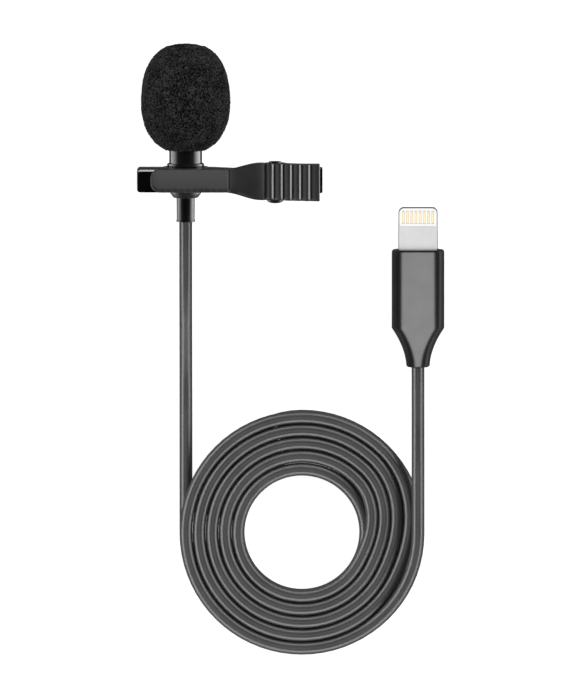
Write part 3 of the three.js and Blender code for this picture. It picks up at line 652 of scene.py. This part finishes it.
def make_body():
    bore = 2.35
    outline = rounded([
        (bore, BODY_BOTTOM, 0.08), (BODY_RADIUS, BODY_BOTTOM, 0.1),
        (BODY_RADIUS, FLANGE_LOW), (FLANGE_RADIUS, FLANGE_LOW, 0.1),
        (FLANGE_RADIUS, FLANGE_HIGH, 0.14), (BODY_RADIUS, FLANGE_HIGH, 0.2),
        (BODY_RADIUS, BODY_TOP, 0.1), (bore, BODY_TOP, 0.1),
    ])
    return dress(lathe("body_tube", outline, segments=128), "black_metal", "microphone", "mic_body")


def make_grille():
    """The perforated cap over the capsule, with a middle hole and two rings of holes in its face."""
    low, high, wall = BODY_TOP + 0.05, BODY_TOP + 3.2, 0.4
    inner = BODY_RADIUS - wall
    outline = rounded([
        (0, high), (BODY_RADIUS, high, 0.5),
        (BODY_RADIUS, low, 0.06), (inner, low),
        (inner, high - wall), (0, high - wall),
    ], 6)
    cap = lathe("head_cap", outline)
    narrow, wide, past = 0.28, 0.4, 0.6
    hole_outline = [(0, -past), (narrow, -past), (narrow, -0.1), (wide, 0.03), (wide, past), (0, past)]
    places = [(0.0, 0.0)]
    for radius, count in ((0.95, 6), (1.8, 11)):
        for i in range(count):
            turn = 2 * math.pi * i / count
            places.append((radius * math.cos(turn), radius * math.sin(turn)))
    for x, z in places:
        cut(cap, lathe("hole", hole_outline, MIC_X + x, AXIS_Z + z, high, segments=20))
    dress(cap, "black_metal", "microphone", "head_grille")


def make_tail():
    """The cup that closes the tube, with a spigot that goes up into it."""
    bore, end_radius, rim_radius, spigot = 1.4, 2.05, 2.65, 2.25
    rim, spigot_top = BODY_BOTTOM - 0.04, BODY_BOTTOM + 1.5
    outline = rounded([
        (bore, TAIL_END), (end_radius, TAIL_END, 0.3),
        (rim_radius, BODY_BOTTOM - 0.35, 0.5), (rim_radius, rim, 0.05),
        (spigot, rim), (spigot, spigot_top),
        (bore, spigot_top),
    ], 5)
    return dress(lathe("tail_cup", outline), "clip_plastic", "microphone", "body_tail")


def make_relief():
    """The sleeve on the cord: plain, with a thin lip where the cord leaves it."""
    lip, bore, bore_end = 0.35, 1.17, -15.5
    spigot, spigot_top = 1.3, BODY_BOTTOM + 0.8
    outline = rounded([
        (0, bore_end), (bore, bore_end),
        (bore, RELIEF_END, 0.06), (RELIEF_RADIUS + 0.02, RELIEF_END, 0.1),
        (RELIEF_RADIUS + 0.02, RELIEF_END + lip, 0.04),
        (RELIEF_RADIUS - 0.05, RELIEF_END + lip + 0.06, 0.04),
        (RELIEF_RADIUS - 0.02, TAIL_END - 0.03), (spigot, TAIL_END - 0.03),
        (spigot, spigot_top), (0, spigot_top),
    ])
    return dress(lathe("relief_sleeve", outline), "rubber", "microphone", "strain_relief")


# -------- clip
REAR_HALF = 2.05  # half the height of the rear lever
TONGUE_HALF = 2.0
TONGUE_Y = CLIP_Y + 0.02
CHAMFER = 0.5  # width of the flat on the rear lever's edge towards the foam
CHAMFER_DROP = 0.29
CHAMFER_AT_GRIP = 0.2  # the share of it that is left beside the grip
REAR_FACE_Z = 12.65
REAR_BACK_Z = 10.25
BLOCK_BACK_Z = 7.65
BLOCK_RIGHT = -3.8  # the rear lever's jaw block thins from here
ARM_LEFT = 1.5  # down to its arm, which starts here
CLIP_END = 15.8
TONGUE_LEFT = -13.43
TONGUE_RIGHT = -0.3
TONGUE_BACK_Z = 13.0
TONGUE_FACE_Z = 14.75
TONGUE_CORNER = 1.5
STEP_DEPTH = 0.18  # of the fine groove where the tongue meets the flare
STEP_HALF = 0.16  # half its width
FLARE_END = 6.0
GRIP_HALF = 3.13
GRIP_RIGHT = 15.35
GRIP_START_Z = 16.35
GRIP_END_Z = 19.35
GRIP_SLOPE = (GRIP_END_Z - GRIP_START_Z) / (GRIP_RIGHT - FLARE_END)
RIDGE_FIRST_X = 7.47
RIDGE_PITCH = 1.555
RIDGES = 5
RIDGE_LINES = [RIDGE_FIRST_X + i * RIDGE_PITCH for i in range(RIDGES + 1)]
TOOTH = 0.45  # depth of the front grip's ridges
WALL = 0.07  # run of a ridge's sharp drop
BEVEL = 0.3  # run of the bevel along its crest
BEVEL_DROP = 0.26
SCALLOP = 0.25  # depth of the hollows between the rear grip's ridges
PIVOT_X = 7.74
PIVOT_Z = 14.0
GROOVE_PITCH = 1.1  # from one of the jaws' small grooves to the next
GROOVE_DEPTH = 0.3


def stations(start, end, step, extra):
    """Places from start to end, a step apart, with the extra ones put in."""
    count = max(1, round((end - start) / step))
    places = {round(start + (end - start) * i / count, 4) for i in range(count + 1)}
    return sorted(places | {round(x, 4) for x in extra if start <= x <= end})


def quarter_round(distance, radius):
    """How far an edge has dropped, that distance in from the end of a quarter round."""
    if distance >= radius:
        return 0.0
    return radius - math.sqrt(max(0.0, radius ** 2 - (radius - distance) ** 2))


def jaw_groove(x):
    """Depth of the jaws' small V grooves at x."""
    if not TONGUE_LEFT + 1 < x < TONGUE_RIGHT - 1:
        return 0.0
    share = (x - TONGUE_LEFT - 1.2) / GROOVE_PITCH % 1
    return max(0.0, GROOVE_DEPTH - min(share, 1 - share) * GROOVE_PITCH)


def lever_ring(x, middle, half, low, high, lower, far, near):
    """One cross-section of a lever: a rectangle in Y and Z with round corners.

    The corner radii are for the lower edges, the upper edge towards the foam (far) and the other (near).
    """
    limit = 0.48 * min(2 * half, high - low)
    lower, far, near = min(lower, limit), min(far, limit), min(near, limit)
    outline = rounded([(half, high, far), (-half, high, near), (-half, low, lower), (half, low, lower)], 6)
    return [(x, middle + p.x, p.y) for p in outline]


def chamfered_ring(x, half, low, high, groove, share):
    """The rear lever's cross-section: its upper edge towards the foam is a broad flat chamfer.

    The jaw's face beside the chamfer lies lower by the depth of a groove there, and share, from 0 to 1,
    is how much of the chamfer there is.
    """
    cut, drop = min(CHAMFER, 0.4 * half) * share, CHAMFER_DROP * share
    edge, lower = 0.05, min(0.3, 0.3 * half)
    outline = rounded([
        (half, high - drop - edge, edge), (half - cut, high, edge), (half - cut - edge, high - groove),
        (-half, high - groove, 2 * edge), (-half, low, lower), (half, low, lower),
    ], 4)
    return [(x, CLIP_Y + p.x, p.y) for p in outline]


def grip_height(x):
    """The grip's top line: rises to the right, with a saw-tooth ridge at each step.

    Each tooth swells gently up to its crest, turns down over a bevel and then drops sharply.
    """
    line = GRIP_START_Z + GRIP_SLOPE * (x - FLARE_END)
    drops = [FLARE_END - WALL] + RIDGE_LINES[:RIDGES]
    start = max(drop for drop in drops if drop <= x + 1e-6)
    end = min([drop for drop in drops if drop > x + 1e-6] + [GRIP_RIGHT + BEVEL])
    crest = end - BEVEL
    if x - start < WALL:
        return line - BEVEL_DROP - (TOOTH - BEVEL_DROP) * (x - start) / WALL
    if x > crest:
        return line - BEVEL_DROP * (x - crest) / BEVEL
    share = (x - start - WALL) / (crest - start - WALL)
    return line - TOOTH * (1 - share) ** 1.8


def front_top(x):
    if x <= TONGUE_RIGHT:
        return TONGUE_FACE_Z - quarter_round(x - TONGUE_LEFT, 0.25)
    if x >= FLARE_END:
        return grip_height(x) - quarter_round(GRIP_RIGHT - x, 0.25)
    dip = TOOTH * smooth_step(x, FLARE_END - 0.3, FLARE_END)
    share = (x - TONGUE_RIGHT) / (FLARE_END - TONGUE_RIGHT)
    straight = 0.35
    eased = straight * share + (1 - straight) * smooth_step(share, 0, 1)
    groove = STEP_DEPTH * max(0.0, 1 - abs(x - TONGUE_RIGHT - STEP_HALF) / STEP_HALF)
    return TONGUE_FACE_Z + (GRIP_START_Z - TONGUE_FACE_Z) * eased - groove - dip


def front_half(x):
    if x <= TONGUE_RIGHT:
        return TONGUE_HALF - quarter_round(x - TONGUE_LEFT, TONGUE_CORNER)
    return TONGUE_HALF + (GRIP_HALF - TONGUE_HALF) * flare(x) - quarter_round(GRIP_RIGHT - x, 0.2)


def flare(x):
    """How far the front lever has widened from tongue to grip, from 0 to 1."""
    return smooth_step(x, TONGUE_RIGHT - 0.6, FLARE_END - 0.8)


def front_bottom(x):
    """The front lever's lower line: the jaw, the round cheeks at the pin and the grip's skirt."""
    cheek_start, cheek_radius, skirt = 5.3, 1.9, 15.6
    if x < cheek_start:
        return TONGUE_BACK_Z + jaw_groove(x) + quarter_round(x - TONGUE_LEFT, 0.5)
    dip = abs(x - PIVOT_X) / cheek_radius
    if dip < 1:
        return min(skirt, PIVOT_Z - cheek_radius * math.sqrt(1 - dip * dip))
    if x < PIVOT_X:
        return TONGUE_BACK_Z
    along = (x - PIVOT_X - cheek_radius) / (GRIP_RIGHT - PIVOT_X - cheek_radius)
    first_rise, steepness = 0.15, 2.2
    return PIVOT_Z + (skirt - PIVOT_Z) * min(1.0, first_rise + steepness * along)


def make_front_lever():
    ridge_sides = (-BEVEL, -0.04, 0, WALL, WALL + 0.04)
    near_ridges = [x + side for x in RIDGE_LINES[:RIDGES] for side in ridge_sides]
    ends = [TONGUE_LEFT + d for d in (0.01, 0.03, 0.06, 0.1, 0.15, 0.22, 0.3, 0.4)]
    ends += [GRIP_RIGHT - d for d in (0.02, 0.06, 0.12, 0.18)]
    step_edges = [TONGUE_RIGHT + d for d in (0, 0.01, STEP_HALF, 2 * STEP_HALF)]
    rings = []
    for x in stations(TONGUE_LEFT, GRIP_RIGHT, 0.1, near_ridges + ends + step_edges):
        middle = TONGUE_Y + (CLIP_Y - TONGUE_Y) * flare(x)
        near = 1.2 - 0.7 * flare(x)
        rings.append(lever_ring(x, middle, front_half(x), front_bottom(x), front_top(x), 0.15, 0.1, near))
    lever = loft("front_lever_shell", rings, sharp=28)
    cut(lever, grip_channel())
    return dress(lever, "clip_plastic", "front_lever", "front_lever")


def clip_block(name, outline, half):
    """A block with that (x, z) outline, reaching half to each side of the clip's middle plane."""
    rings = [[(x, CLIP_Y + side * half, z) for x, z in outline] for side in (-1, 1)]
    return loft(name, rings)


def grip_channel():
    """The hollow under the grip that the rear lever, its lugs and the spring take up."""
    left, slope_end, right = 4.4, 12.2, GRIP_RIGHT + 1
    bottom, roof_over_pin = 9.0, 1.63
    roof = [(x, PIVOT_Z + roof_over_pin + GRIP_SLOPE * (x - PIVOT_X)) for x in (left, slope_end)]
    roof.append((right, roof[-1][1]))
    return clip_block("channel", [(left, bottom)] + roof + [(right, bottom)], half=2.4)


def rear_back(x):
    """The rear lever's back line: a thick jaw block, then the thinner arm with a scalloped grip."""
    thinning = smooth_step(x, BLOCK_RIGHT, ARM_LEFT)
    line = BLOCK_BACK_Z + (REAR_BACK_Z - BLOCK_BACK_Z) * thinning
    if x > RIDGE_FIRST_X:
        number = (x - RIDGE_FIRST_X) / RIDGE_PITCH
        if number < RIDGES:
            inside = number % 1
            line += 4 * SCALLOP * inside * (1 - inside)
        growth = 0.1
        line -= growth * min(number, RIDGES)
    return line + quarter_round(x + CLIP_END, 0.5) + quarter_round(CLIP_END - x, 0.2)


def rear_half(x):
    widened = 0.1 * smooth_step(x, 8.0, 10.0)
    return REAR_HALF + widened - quarter_round(x + CLIP_END, 0.6) - quarter_round(CLIP_END - x, 0.2)


def make_rear_lever():
    ends = [side * (CLIP_END - d) for side in (-1, 1) for d in (0.02, 0.06, 0.12, 0.2, 0.3)]
    rings = []
    for x in stations(-CLIP_END, CLIP_END, 0.12, RIDGE_LINES + ends):
        top = REAR_FACE_Z - quarter_round(x + CLIP_END, 0.3)
        share = 1 - (1 - CHAMFER_AT_GRIP) * smooth_step(x, FLARE_END, FLARE_END + 2)
        rings.append(chamfered_ring(x, rear_half(x), rear_back(x), top, jaw_groove(x), share))
    lever = loft("rear_lever_shell", rings, sharp=28)
    combine(lever, holder_ring(), "UNION")
    combine(lever, pivot_lugs(), "UNION")
    half, past = 1.45, 4
    slot = box("slot", (MIC_X - half, CLIP_Y - past, -2), (MIC_X + half, CLIP_Y + past, AXIS_Z))
    cut(lever, holder_bore(), slot)
    return dress(lever, "clip_gloss", "clip", "rear_lever")


def holder_ring():
    """The ring that holds the microphone, still without its bore and its slot."""
    inner, outer, edge = 2.0, 3.9, 0.18
    outline = rounded([
        (inner, -REAR_HALF), (outer, -REAR_HALF, edge), (outer, REAR_HALF, edge), (inner, REAR_HALF),
    ])
    return lathe("holder", outline, y=CLIP_Y)


def holder_bore():
    bore, lead_in, mouth, past = 3.0, 0.2, REAR_HALF + 0.02, 4
    wide = bore + lead_in
    outline = [
        (0, -past), (wide, -past), (wide, -mouth), (bore, -mouth + lead_in),
        (bore, mouth - lead_in), (wide, mouth), (wide, past), (0, past),
    ]
    return lathe("bore", outline, y=CLIP_Y)


def pivot_lugs():
    """Two round-topped lugs that carry the pin, with the spring's space between them."""
    base, radius, bottom, steps = 1.6, 1.4, REAR_FACE_Z - 0.5, 16
    outline = [(PIVOT_X - base, bottom), (PIVOT_X + base, bottom)]
    for i in range(steps + 1):
        turn = math.pi * i / steps
        outline.append((PIVOT_X + radius * math.cos(turn), PIVOT_Z + radius * math.sin(turn)))
    lugs = clip_block("lugs", outline, REAR_HALF - 0.05)
    past, half, top = 3, 1.1, 18
    space = box("space", (PIVOT_X - past, CLIP_Y - half, REAR_FACE_Z), (PIVOT_X + past, CLIP_Y + half, top))
    cut(lugs, space)
    return lugs


def make_pin():
    """The clip's rivet: a flat head towards the foam, a domed one at the other end."""
    under = GRIP_HALF + 0.05
    shank, flat_radius, flat_end = 0.7, 1.07, under + 0.2
    dome_radius, dome_rim, dome_height, steps = 1.38, 0.1, 0.5, 10
    outline = [(0, -under - dome_rim - dome_height)]
    for i in range(steps - 1, -1, -1):
        turn = math.pi / 2 * i / steps
        outline.append((dome_radius * math.cos(turn), -under - dome_rim - dome_height * math.sin(turn)))
    outline.append((dome_radius, -under))
    outline += rounded([
        (shank, -under), (shank, under), (flat_radius, under), (flat_radius, flat_end, 0.06), (0, flat_end),
    ])
    pin = lathe("clip_rivet", outline, PIVOT_X, PIVOT_Z, CLIP_Y, segments=64)
    return dress(pin, "black_metal", "clip", "pivot_pin")


SPRING_WIDTH = 1.55  # along the pin, from one leg to the other
SPRING_RADIUS = 1.05
SPRING_WIRE = 0.35
SPRING_TURN = 2 * math.pi * 3 + math.radians(162.2)
PIN_MIDDLE = Vector((PIVOT_X, CLIP_Y, PIVOT_Z))


def on_spring(done):
    """The place on the coil, from the pin's middle, after turning that far."""
    angle = -math.pi / 2 - done
    along_pin = SPRING_WIDTH * (done / SPRING_TURN - 0.5)
    return Vector((SPRING_RADIUS * math.cos(angle), along_pin, SPRING_RADIUS * math.sin(angle)))


def spring_points():
    """A torsion spring: about three and a half turns, with a leg along each lever."""
    last = -math.pi / 2 - SPRING_TURN
    along = Vector((math.sin(last), 0, -math.cos(last)))
    steps = 150
    lower = [on_spring(0) + Vector((reach, 0, 0)) for reach in (5.2, 3.5, 1.5, 0.5)]
    coil = [on_spring(SPRING_TURN * i / steps) for i in range(steps + 1)]
    upper = [on_spring(SPRING_TURN) + along * reach for reach in (0.5, 1.5, 3.0, 4.1)]
    return [PIN_MIDDLE + p for p in lower + coil + upper]


def make_spring():
    """A steel wire spring with one leg along each lever; in the real clip its coils wind up as the clip
    opens.
    """
    wire = curve_tube("spring_wire", spring_points(), SPRING_WIRE / 2, smoothness=4)
    spring = bpy.data.objects.new("clip_spring", finished_mesh(wire))
    bpy.data.objects.remove(wire)
    bpy.context.scene.collection.objects.link(spring)
    tidy_mesh(spring)
    spring.data.materials.clear()
    spring.data.materials.append(MATERIALS["steel"])
    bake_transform(spring)
    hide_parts("torsion_spring")


# -------- plug
PLUG_HALF_WIDTH = 4.485
PLUG_HALF_THICK = 2.6
PLUG_CORNER = 2.2
PLUG_WALL = 0.8
PLUG_TOP = -22.15
PLUG_SHOULDER = -35.55
TAPER_POWER = 1.85  # how fast the taper narrows behind the shoulder
PLUG_END = -42.27
PLUG_END_RADIUS = 2.0
TAB_HALF = 3.35
TAB_THICK = 1.5
TAB_TIP = -14.92
TAB_ROOT = -26.5
WINDOW_TOP = -15.12
WINDOW_BOTTOM = -18.15
WINDOW_HALF = 3.12
WINDOW_CORNER = 0.7
CONTACTS = 8
CONTACT_PITCH = 0.717
CONTACT_WIDTH = 0.42
CONTACT_LENGTH = 2.2
CONTACT_CORNER = 0.1
CONTACT_Y = (WINDOW_TOP + WINDOW_BOTTOM) / 2
STEM_HALF = 2.6  # the insulator's stem, which runs back inside the tongue
STEM_HALF_THICK = 0.3


def plug_ring(y, half_width, half_thick, corner):
    outline = rounded_rectangle(half_width, half_thick, min(corner, half_thick - 0.001), 10)
    return [(PLUG_X + p.x, y, PLUG_Z + p.y) for p in outline]


def edge_steps(radius, count):
    """(inset, drop) pairs round a quarter of a circle, from an edge's face to its side."""
    turns = [math.pi / 2 * i / count for i in range(count + 1)]
    return [(radius * (1 - math.sin(turn)), radius * (1 - math.cos(turn))) for turn in turns]


def housing_rings(shrink, top, end):
    """The shell's cross-sections from top to end, smaller by shrink all round."""
    corner_share = 0.6  # a corner's radius shrinks by this share of an inset
    rings = []
    for rim_inset, drop in edge_steps(0.45, 6):
        inset = rim_inset + shrink
        corner = PLUG_CORNER - inset * corner_share
        rings.append(plug_ring(top - drop, PLUG_HALF_WIDTH - inset, PLUG_HALF_THICK - inset, corner))
    steps = 28
    for i in range(steps + 1):
        t = i / steps
        narrowing = 1 - (1 - t) ** TAPER_POWER
        half_width = PLUG_HALF_WIDTH + (PLUG_END_RADIUS - PLUG_HALF_WIDTH) * narrowing
        half_thick = PLUG_HALF_THICK + (PLUG_END_RADIUS - PLUG_HALF_THICK) * narrowing
        y = PLUG_SHOULDER + (end - PLUG_SHOULDER) * t
        end_inset = quarter_round(y - end, 0.3) if shrink == 0 else 0.0
        inset = shrink + end_inset
        corner = PLUG_CORNER + (PLUG_END_RADIUS - PLUG_CORNER) * narrowing
        corner -= shrink * corner_share + end_inset
        rings.append(plug_ring(y, half_width - inset, half_thick - inset, corner))
    return rings


def make_housing():
    shell = loft("plug_shell", housing_rings(0, PLUG_TOP, PLUG_END), sharp=35)
    inside = loft("inside", housing_rings(PLUG_WALL, PLUG_TOP - PLUG_WALL, PLUG_END + 1.5))
    gap = 0.15
    slot_half, slot_thick = TAB_HALF + gap, TAB_THICK / 2 + gap
    outline = rounded_rectangle(slot_half, slot_thick, slot_thick * 0.5, 5)
    slot = loft("slot", [[(PLUG_X + p.x, y, PLUG_Z + p.y) for p in outline] for y in (-24.0, -20.0)])
    radius, past = 1.2, 3
    outline = [(0, -past), (radius, -past), (radius, past), (0, past)]
    hole = lathe("hole", outline, PLUG_X, PLUG_Z, PLUG_END, segments=64)
    cut(shell, inside, slot, hole)
    return dress(shell, "anodised", "microphone", "plug_housing")


def tab_ring(z, inset):
    """The tongue's outline at a height, with its two tip corners round."""
    half, tip = TAB_HALF - inset, TAB_TIP - inset
    corner = 0.95
    outline = rounded([(half, TAB_ROOT), (half, tip, corner), (-half, tip, corner), (-half, TAB_ROOT)], 8)
    return level_ring(outline, z, PLUG_X)


def make_tab():
    levels = [(TAB_THICK / 2 - drop, inset) for drop, inset in edge_steps(0.14, 4)]
    rings = [tab_ring(PLUG_Z - z, inset) for z, inset in reversed(levels)]
    rings += [tab_ring(PLUG_Z + z, inset) for z, inset in levels]
    tab = loft("tab_frame", rings, sharp=30)
    cut(tab, window_block("window", 0, 3), stem_block(0.05, TAB_ROOT - 1, WINDOW_BOTTOM + 1))
    return dress(tab, "tab_metal", "microphone", "plug_tab")


def stem_block(gap, low, high):
    """The insulator's stem between two places along the plug, larger by gap all round."""
    half, thick = STEM_HALF + gap, STEM_HALF_THICK + gap
    return box("stem", (PLUG_X - half, low, PLUG_Z - thick), (PLUG_X + half, high, PLUG_Z + thick))


def window_block(name, shrink, half_thick):
    """What fills the tongue's window, smaller by shrink all round: round corners at the tip only."""
    half, top, bottom = WINDOW_HALF - shrink, WINDOW_TOP - shrink, WINDOW_BOTTOM + shrink
    corner = WINDOW_CORNER - shrink
    outline = rounded([(half, bottom), (half, top, corner), (-half, top, corner), (-half, bottom)], 6)
    return loft(name, [level_ring(outline, PLUG_Z + z, PLUG_X) for z in (-half_thick, half_thick)])


def contact_x(number):
    return PLUG_X + (number - (CONTACTS + 1) / 2) * CONTACT_PITCH


def make_carrier():
    """The white insulator that fills the window, slotted for the contacts, with its stem."""
    gap = 0.02
    carrier = window_block("contact_insulator", gap, TAB_THICK / 2 - gap)
    combine(carrier, stem_block(0, TAB_ROOT, WINDOW_BOTTOM + 0.3), "UNION")
    slot_gap, past = 0.03, 3
    reach = Vector((CONTACT_WIDTH / 2 + slot_gap, CONTACT_LENGTH / 2 + slot_gap, past))
    for number in range(1, CONTACTS + 1):
        middle = Vector((contact_x(number), CONTACT_Y, PLUG_Z))
        cut(carrier, box("slot", middle - reach, middle + reach, CONTACT_CORNER))
    return dress(carrier, "white_plastic", "microphone", "contact_carrier")


def make_contacts():
    """Eight gold pads, a hair proud of the insulator, with bevelled edges."""
    face, shoulder, bevel = 0.755, 0.72, 0.05
    made = []
    for number in range(1, CONTACTS + 1):
        rings = []
        for z, inset in ((-face, bevel), (-shoulder, 0.0), (shoulder, 0.0), (face, bevel)):
            half_width, half_length = CONTACT_WIDTH / 2 - inset, CONTACT_LENGTH / 2 - inset
            outline = rounded_rectangle(half_width, half_length, CONTACT_CORNER - inset * 0.5, 4)
            rings.append(level_ring(outline, PLUG_Z + z, contact_x(number), CONTACT_Y))
        pad = loft(f"contact_pad_{number}", rings, sharp=60)
        made.append(dress(pad, "gold", "microphone", f"contact_{number}"))
    return made


# -------- carried-over CAD nodes
def dress_cad_nodes():
    """Inner pieces keep their CAD shape and get the material of their slot in the record."""
    slots = {part["node"]: part["material_slot"] for part in frame["record"]["subparts"]}
    for name, node in frame["nodes"].items():
        if not node.hide_render:
            node.data.materials.clear()
            node.data.materials.append(MATERIALS[slots[name]])


def declare_cord():
    dress(cord, "cord", "microphone", "cord_mic_lead", "cord_coil", "cord_plug_lead")


# -------- floor and light
def plane(name, half, z):
    """A level square of that half width, in metres."""
    mesh = bpy.data.meshes.new(name)
    corners = [(-half, -half, z), (half, -half, z), (half, half, z), (-half, half, z)]
    mesh.from_pydata(corners, [], [(0, 1, 2, 3)])
    piece = bpy.data.objects.new(name, mesh)
    bpy.context.scene.collection.objects.link(piece)
    return piece


def glowing(name, colour, radiance):
    """A matt material that also gives off some light of its own."""
    shader = Shader(name, colour, 1.0, specular=0.0)
    shader.set("Emission Color", (1, 1, 1, 1))
    shader.set("Emission Strength", radiance)
    return shader.material


def make_floor():
    """A white floor that fills in most of its own shadows."""
    floor = plane("floor", 3, 0)
    floor.data.materials.append(glowing("floor", (0.9, 0.9, 0.9), 0.85))
    floor.visible_glossy = False
    floor.visible_shadow = False


def make_reflector():
    """What glossy surfaces see in place of the floor."""
    card = plane("low_card", 1, -0.35)
    material = glowing("low_card", (0, 0, 0), 0.1)
    material.cycles.emission_sampling = "NONE"
    card.data.materials.append(material)
    for kind in ("camera", "diffuse", "transmission", "volume_scatter", "shadow"):
        setattr(card, f"visible_{kind}", False)


MIDDLE = Vector((0.0105, -0.04, 0))  # what the lights face
SIDE = 0.45  # from there to the upright lights
OVERHEAD = 0.8  # height of the lights above the set
FOOT = 0.09  # height of the long upright lights
PLUG_LIGHT_X = 0.032


def softbox(name, place, size, radiance, fade=None, only=(), skip=()):
    """A rectangular light that faces the set.

    fade is (start, end) for an upright light that stays full up to start and is gone at end, counted
    from its foot to its head. only and skip name the pieces that it lights, or those that it doesn't.
    """
    data = bpy.data.lights.new(name, "AREA")
    data.shape = "RECTANGLE"
    data.size, data.size_y = size
    data.energy = radiance * math.pi * size[0] * size[1]
    if fade:
        fade_light(data, *fade)
    light = bpy.data.objects.new(name, data)
    light.location = place
    aim = MIDDLE - Vector(place)
    if fade:
        aim.z = 0
    light.rotation_euler = aim.to_track_quat("-Z", "Y").to_euler()
    light.visible_camera = False
    bpy.context.scene.collection.objects.link(light)
    if only or skip:
        chosen = bpy.data.collections.new(name + "_choice")
        light.light_linking.receiver_collection = chosen
        for piece in only or skip:
            chosen.objects.link(piece)
        for item in chosen.collection_objects:
            item.light_linking.link_state = "INCLUDE" if only else "EXCLUDE"


def fade_light(data, start, end):
    data.use_nodes = True
    tree = data.node_tree
    place = tree.nodes.new("ShaderNodeNewGeometry").outputs["Parametric"]
    split = tree.nodes.new("ShaderNodeSeparateXYZ")
    tree.links.new(place, split.inputs[0])
    level = tree.nodes.new("ShaderNodeMapRange")
    level.interpolation_type = "SMOOTHSTEP"
    for socket, number in {"From Min": start, "From Max": end, "To Min": 1.0, "To Max": 0.0}.items():
        level.inputs[socket].default_value = number
    tree.links.new(split.outputs["Y"], level.inputs["Value"])
    tree.links.new(level.outputs["Result"], tree.nodes["Emission"].inputs["Strength"])


def make_lights(foam, tube_pieces, front_lever, rear_lever, plug_pieces):
    """Plain soft light, with the panels that each material needs to show its shape."""
    world = bpy.data.worlds.new("world")
    world.use_nodes = True
    background = world.node_tree.nodes["Background"]
    background.inputs["Color"].default_value = (1, 1, 1, 1)
    background.inputs["Strength"].default_value = 0.03
    bpy.context.scene.world = world
    bpy.context.scene.view_settings.view_transform = "Standard"
    make_reflector()

    shell, tab, *white_and_gold = plug_pieces
    unlit = [cord, foam] + plug_pieces
    upright = (0.9, 0.76)
    left = (MIDDLE.x - SIDE, MIDDLE.y, FOOT)
    right = (MIDDLE.x + SIDE, MIDDLE.y, FOOT)
    softbox("left", left, upright, 4.6, (0.3, 0.77), skip=unlit + [front_lever])
    softbox("grip_left", left, upright, 2.9, (0.3, 0.77), only=[front_lever])
    softbox("right", right, upright, 7.0, (0.3, 0.84), skip=unlit)
    top = (MIDDLE.x, 0.07, OVERHEAD)
    softbox("top", top, (0.42, 0.5), 1.9, skip=unlit + tube_pieces + [rear_lever])
    softbox("chamfer", (MIDDLE.x, MIDDLE.y + SIDE, 0.31), (0.9, 0.2), 14.0, only=[rear_lever])
    softbox("ridges", (MIDDLE.x + 0.4, MIDDLE.y, 0.3), (0.5, 0.16), 15.0, only=[front_lever])
    softbox("foam_top", (MIDDLE.x, 0.0, OVERHEAD), (1.0, 1.0), 1.25, only=[foam])

    for name, across, along, radiance in (
        ("left", -SIDE, 0, 7.0), ("right", SIDE, 0, 5.6), ("near", 0, -SIDE, 6.4), ("far", 0, SIDE, 4.8),
    ):
        place = (MIDDLE.x + across, MIDDLE.y + along, 0.2)
        softbox(f"cord_{name}", place, (0.9, 0.22), radiance, only=[cord])
    softbox("cord_top", (MIDDLE.x, -0.1, OVERHEAD), (0.34, 0.34), 1.15, only=[cord])

    softbox("plug_top", (PLUG_LIGHT_X, -0.3, OVERHEAD), (0.9, 1.5), 0.86, only=[shell])
    softbox("tab_top", (PLUG_LIGHT_X, -0.1, OVERHEAD), (1.2, 1.2), 0.93, only=[tab])
    softbox("contacts_top", (PLUG_LIGHT_X, -0.1, OVERHEAD), (1.2, 1.2), 2.55, only=white_and_gold)
    for name, across, radiance in (("left", -SIDE, 0.03), ("right", SIDE, 0.25)):
        place = (PLUG_LIGHT_X + across, MIDDLE.y, 0.0)
        softbox(f"plug_{name}", place, (0.9, 0.2), radiance, only=[shell])


foam = make_windscreen()
body = make_body()
make_grille()
make_tail()
relief = make_relief()
front_lever = make_front_lever()
rear_lever = make_rear_lever()
pin = make_pin()
make_spring()
shell = make_housing()
plug_pieces = [shell, make_tab(), make_carrier()] + make_contacts()
dress_cad_nodes()
declare_cord()
make_floor()
make_lights(foam, [body, relief, pin], front_lever, rear_lever, plug_pieces)
